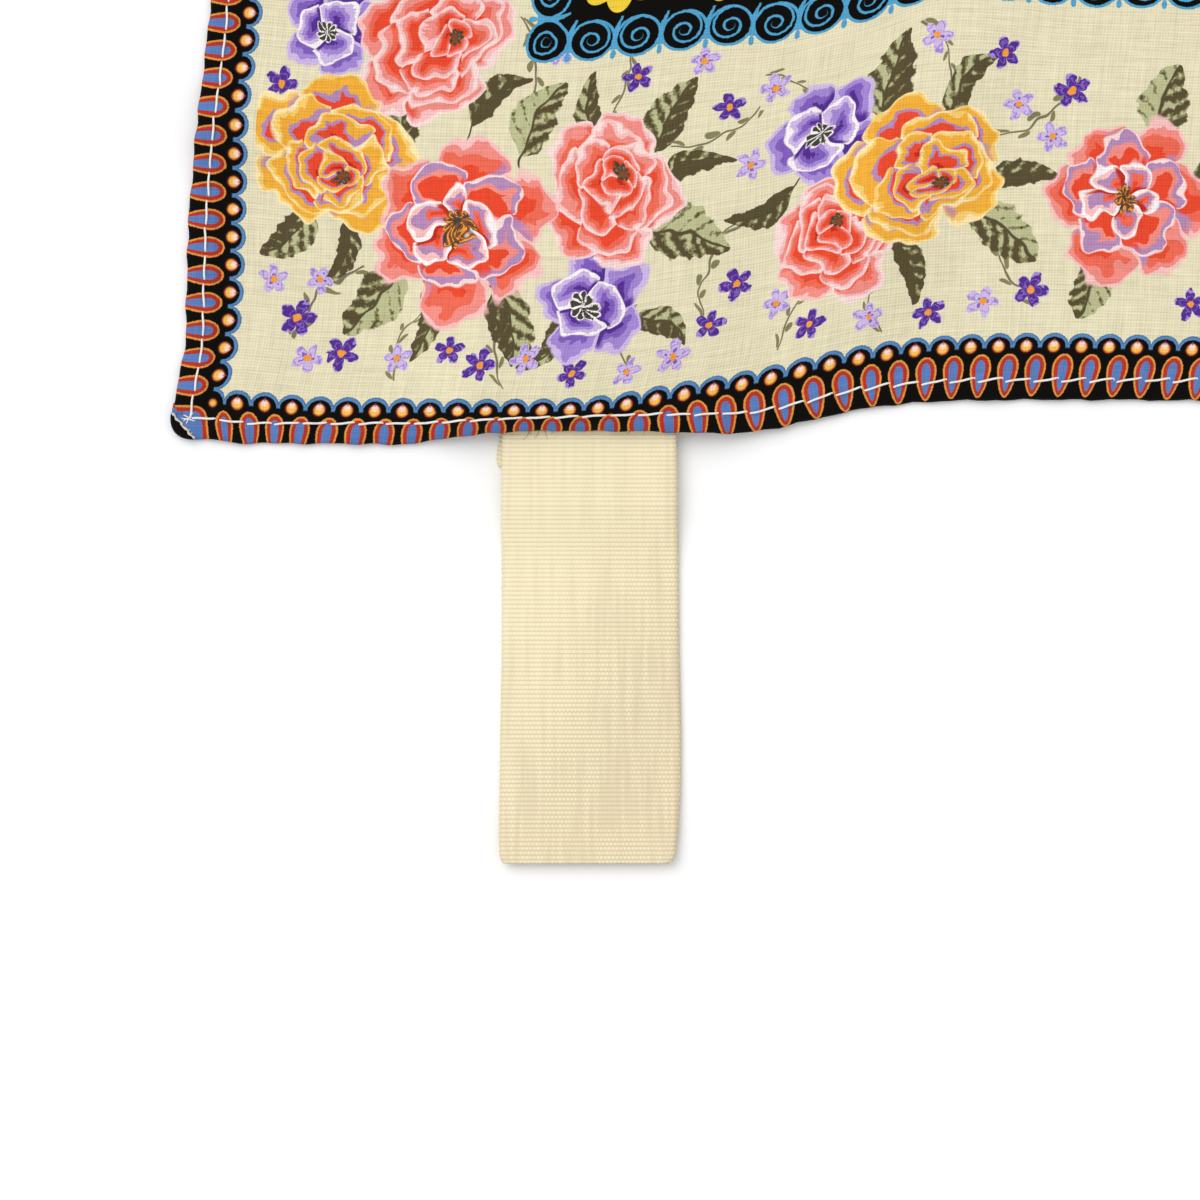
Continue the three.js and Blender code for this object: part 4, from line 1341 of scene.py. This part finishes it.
def joined(name, parts):
    """One object from several bmeshes."""
    whole = bmesh.new()
    for part in parts:
        mesh = bpy.data.meshes.new(name + " part")
        part.to_mesh(mesh)
        part.free()
        whole.from_mesh(mesh)
    return new_object(name, whole)


def thread_material(name, colour):
    """Thread in one ink, with paler fibres and a fine twist in it."""
    material = new_material(name)
    tree = material.node_tree
    shader = tree.nodes["Principled BSDF"]
    place = tree.nodes.new("ShaderNodeTexCoord").outputs["Object"]
    twist = cloud(tree, place, 2400.0, 2.0)
    shade = over(tree, INK[colour], INK["raw edge"], ease(twist, 0.5, 0.75) * 0.6)
    tree.links.new(shade, shader.inputs["Base Color"])
    shader.inputs["Roughness"].default_value = 0.7
    shader.inputs["Sheen Weight"].default_value = 0.2
    relief = tree.nodes.new("ShaderNodeBump")
    relief.inputs["Distance"].default_value = 0.04 * MM
    tree.links.new(twist.socket, relief.inputs["Height"])
    tree.links.new(relief.outputs[0], shader.inputs["Normal"])
    return material


# %% Stitches
THREAD_THICK = 0.32
HOLE_SHARE = 0.1  # the share of each stitch that is down in a needle hole
STATIONS_A_STITCH = 12
THREAD_SIDES = 6
STITCH_IN = {"bottom": 2.95, "left": 2.5, "top": 2.8, "right": 2.7}  # in from the fold
STITCH_SLANT = {"bottom": (0.26, 0.7), "left": (-0.16, -0.16), "top": (0.3, 0.3), "right": (-0.2, -0.2)}
SLANT_GROWS = (72, 90)  # where along the side the slant goes from its first value to its second
BY_THE_LABEL = (30, 42, 60, 76)  # where the bottom hem is narrower, so its stitches are nearer the fold
NARROWER = 0.16
UNEVEN = 0.07
SUNK = 0.56  # a thread's height at a hole as a share of the hem's, and how much higher a stitch's middle is
RISES = 0.42


def stitch_line(name, edge, inwards, across, start, end):
    """One side's line of stitches."""
    count = round((end - start) / STITCH_PITCH)
    place = np.linspace(0, count, count * STATIONS_A_STITCH + 1)
    stitch = np.minimum(place.astype(int), count - 1)
    share = place - stitch
    off = rng.normal(0, UNEVEN, count + 1)
    s = start + (end - start) * place / count
    slim = 1 - NARROWER * plateau(s, BY_THE_LABEL) if name == "bottom" else 1.0
    near, far = STITCH_SLANT[name]
    slant = near + (far - near) * smooth(s, *SLANT_GROWS)
    w = STITCH_IN[name] * slim + off[stitch] + (off[stitch + 1] - off[stitch]) * share
    w = w + slant * (share - 0.5) + 0.05 * np.sin(place * 1.7 + share * 5)
    out_of_hole = smooth(np.minimum(share, 1 - share), 0.0, HOLE_SHARE)
    arch = np.sqrt(np.maximum(0, 1 - (2 * share - 1) ** 4))
    u, v = crossed(across, s, edge(s) + inwards * w)
    x, y, z = lay(u, v)
    z = z + ripples(u, v) + HEM_THICK * (SUNK + RISES * out_of_hole) + 0.1 * arch
    return thread(np.stack([x, y, z], -1), THREAD_THICK / 2 * (0.6 + 0.4 * arch), THREAD_SIDES)


def on_hem(points, lift):
    """Points of the cloth near its corner as places in the drawing, lifted over the hem."""
    u, v = np.array(points, float).T
    x, y, z = lay(u, v)
    return np.stack([x, y, z + ripples(u, v) + HEM_THICK + lift], -1)


def wispy(start, end, bend, lift, stations=14):
    """A loose thread's path between two points of the cloth, bowed sideways and off the cloth."""
    t = np.linspace(0, 1, stations)
    line = np.outer(1 - t, start) + np.outer(t, end)
    across = np.array([end[1] - start[1], start[0] - end[0]]) * bend
    path = on_hem(line + np.outer(np.sin(t * math.pi) + 0.3 * np.sin(t * 9), across), 0.1)
    path[:, 2] += lift * np.sin(t * math.pi)
    return thread(path, 0.1 * (0.5 + 0.5 * np.sin(t * math.pi)), 5)


rng = np.random.default_rng(7)
CORNER_FOLD = 5.4  # how far outside the dots the fold is near the corners
LOW = STITCH_IN["left"] - CORNER_FOLD
HIGH = PRINT_SIDE + CORNER_FOLD - STITCH_IN["right"]
KNOT_U, KNOT_V = LOW - 0.1, STITCH_IN["bottom"] - 5.25
# how far each loose end at the corner's knot reaches along u and v, and its bend
LOOSE_ENDS = [(-0.9, 0.4, 0.1), (-1.1, 0.05, -0.15), (-0.7, -0.5, 0.2), (0.5, 0.8, -0.1), (0.9, -0.3, 0.15),
              (0.1, 0.9, 0.1), (-0.3, -0.8, 0.05)]
stitches = joined("hem_stitches", [
    stitch_line("bottom", bottom_edge, 1, True, LOW, HIGH),
    stitch_line("left", left_edge, 1, False, LOW + 0.3, HIGH),
    stitch_line("top", top_edge, -1, True, LOW, HIGH),
    stitch_line("right", right_edge, -1, False, LOW + 0.3, HIGH),
    *[wispy((KNOT_U, KNOT_V), (KNOT_U + a, KNOT_V + b), bend, 0.12) for a, b, bend in LOOSE_ENDS],
])
stitches.data.materials.append(thread_material("white thread", "thread"))
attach(stitches, "root")
print(f"stitches: {round((HIGH - LOW) / STITCH_PITCH)} a side")

# %% [markdown]
# ## The corner's folded tip
# At the corner the cloth's tip was folded in before the hems were sewn, and its black outside shows past a
# pale raw edge. A plain corner would do from afar, but the camera is close. The tip is a small curved patch:
# one side follows the raw edge and the other the rounded corner. The raw edge is a thread with short ends.

# %% Folded tip
TIP_REACH = 3.5
TIP_SQUARE = 0.77  # 1 would be a round outline, and less is squarer
TIP_STEPS = 12
TIP_THICK = 0.22
TIP_SHORT = 0.97  # it stops a little short of the hem's own outline
TIP_PRINT = (-7.6, 20)  # a black place on the print, which is what its outside shows
RAW_ENDS = 9
corner_u, corner_v = float(left_edge(-3.0)), float(bottom_edge(-3.0))


def folded_tip():
    """The folded-in tip, its printed side up."""
    bm, at = grid(TIP_STEPS, 6)
    turn, out = at[:, 0] * math.pi / 2, at[:, 1]
    c, s = np.maximum(np.cos(turn), 0) ** TIP_SQUARE, np.maximum(np.sin(turn), 0) ** TIP_SQUARE
    rim_u, rim_v = TIP_REACH * (1 - c), TIP_REACH * (1 - s)
    raw_u, raw_v = TIP_REACH * at[:, 0], TIP_REACH * (1 - at[:, 0])
    u = corner_u + raw_u + (rim_u - raw_u) * out * TIP_SHORT
    v = corner_v + raw_v + (rim_v - raw_v) * out * TIP_SHORT
    place = on_hem(np.stack([u, v], -1), 0)
    place[:, 2] += 0.06 - 0.42 * out**4
    move_to(bm, *place.T)
    tip = new_object("folded_tip", bm)
    put(tip.data, "print", np.stack([TIP_PRINT[0] + 0 * u, TIP_PRINT[1] + v, 0 * u], -1), "POINT")
    thicken(tip, TIP_THICK, 1 if tip.data.polygons[0].normal.z > 0 else -1)
    tip.data.materials.append(border_material)
    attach(tip, "root")
    return tip


def on_raw_edge(share):
    """A place along the straight raw edge, as u and v."""
    return corner_u + TIP_REACH * share, corner_v + TIP_REACH * (1 - share)


def frayed_edge():
    """The raw edge: one soft thick thread along it and short ends that stick out of it."""
    t = np.linspace(0, 1, 40)
    edge = on_hem(np.stack(on_raw_edge(t), -1), 0.2)
    edge[:, 0] += 0.1 * np.sin(t * 21)
    parts = [thread(edge, 0.17 + 0.05 * np.sin(t * 33), 6)]
    for k in range(RAW_ENDS):
        start = on_raw_edge((k + 0.7) / 9.5)
        away = rng.normal(0.32, 0.12, 2)
        end = (start[0] + away[0], start[1] + away[1] * rng.choice([-0.4, 1]))
        parts.append(wispy(start, end, 0.2, 0.05, 8))
    return joined("raw_edge", parts)


tip = folded_tip()
raw_edge = frayed_edge()
raw_edge.data.materials.append(thread_material("raw edge", "raw edge"))
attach(raw_edge, "root")
print(f"folded tip: {len(tip.data.polygons)} faces, raw edge: {len(raw_edge.data.polygons)}")

# %% [markdown]
# ## A few dark fibres on the label
# Fine dark hairs of the black hem stick out over the label's top. They could be drawn in the tape's material,
# but real ones stand on it and catch the light, so each is a thin thread that follows the tape's waves.

# %% Fibres
# Each row is where a fibre starts, how far it goes across and down, and its bend.
FIBRES = [(50.7, 1.8, -1.0, -1.7, 0.12), (51.2, 1.9, -0.3, -1.2, -0.2), (51.9, 1.8, -0.6, -1.4, 0.2),
          (53.0, 1.8, 0.3, -1.6, -0.12), (53.9, 1.9, -0.2, -1.0, 0.25), (49.8, 1.8, 0.7, -0.9, 0.3),
          (63.8, 1.8, 0.5, -0.7, 0.2), (64.9, 1.8, -0.4, -0.8, 0.3), (66.3, 1.7, 0.7, -0.8, 0.35)]
FIBRE_THICK = 0.06
LABEL_TOP = 1.96  # the tape's upper side near the hem


def fibre(x, y, run_x, run_y, bend):
    """One fibre on the tape, thinner towards its end."""
    t = np.linspace(0, 1, 10)
    bow = bend * np.sin(t * math.pi)
    at_x, at_y = x + run_x * t - run_y * bow, y + run_y * t + run_x * bow
    path = np.stack([at_x, at_y, LABEL_TOP + label_wave(at_x, at_y)], -1)
    return thread(path, FIBRE_THICK / 2 * (1 - 0.6 * t), 4)


fibres = joined("dark_fibres", [fibre(*row) for row in FIBRES])
fibre_material = new_material("dark fibre")
fibre_shader = fibre_material.node_tree.nodes["Principled BSDF"]
fibre_shader.inputs["Base Color"].default_value = INK["hair"]
fibre_shader.inputs["Roughness"].default_value = 0.8
fibres.data.materials.append(fibre_material)
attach(fibres, "root")
print(f"{len(FIBRES)} fibres")
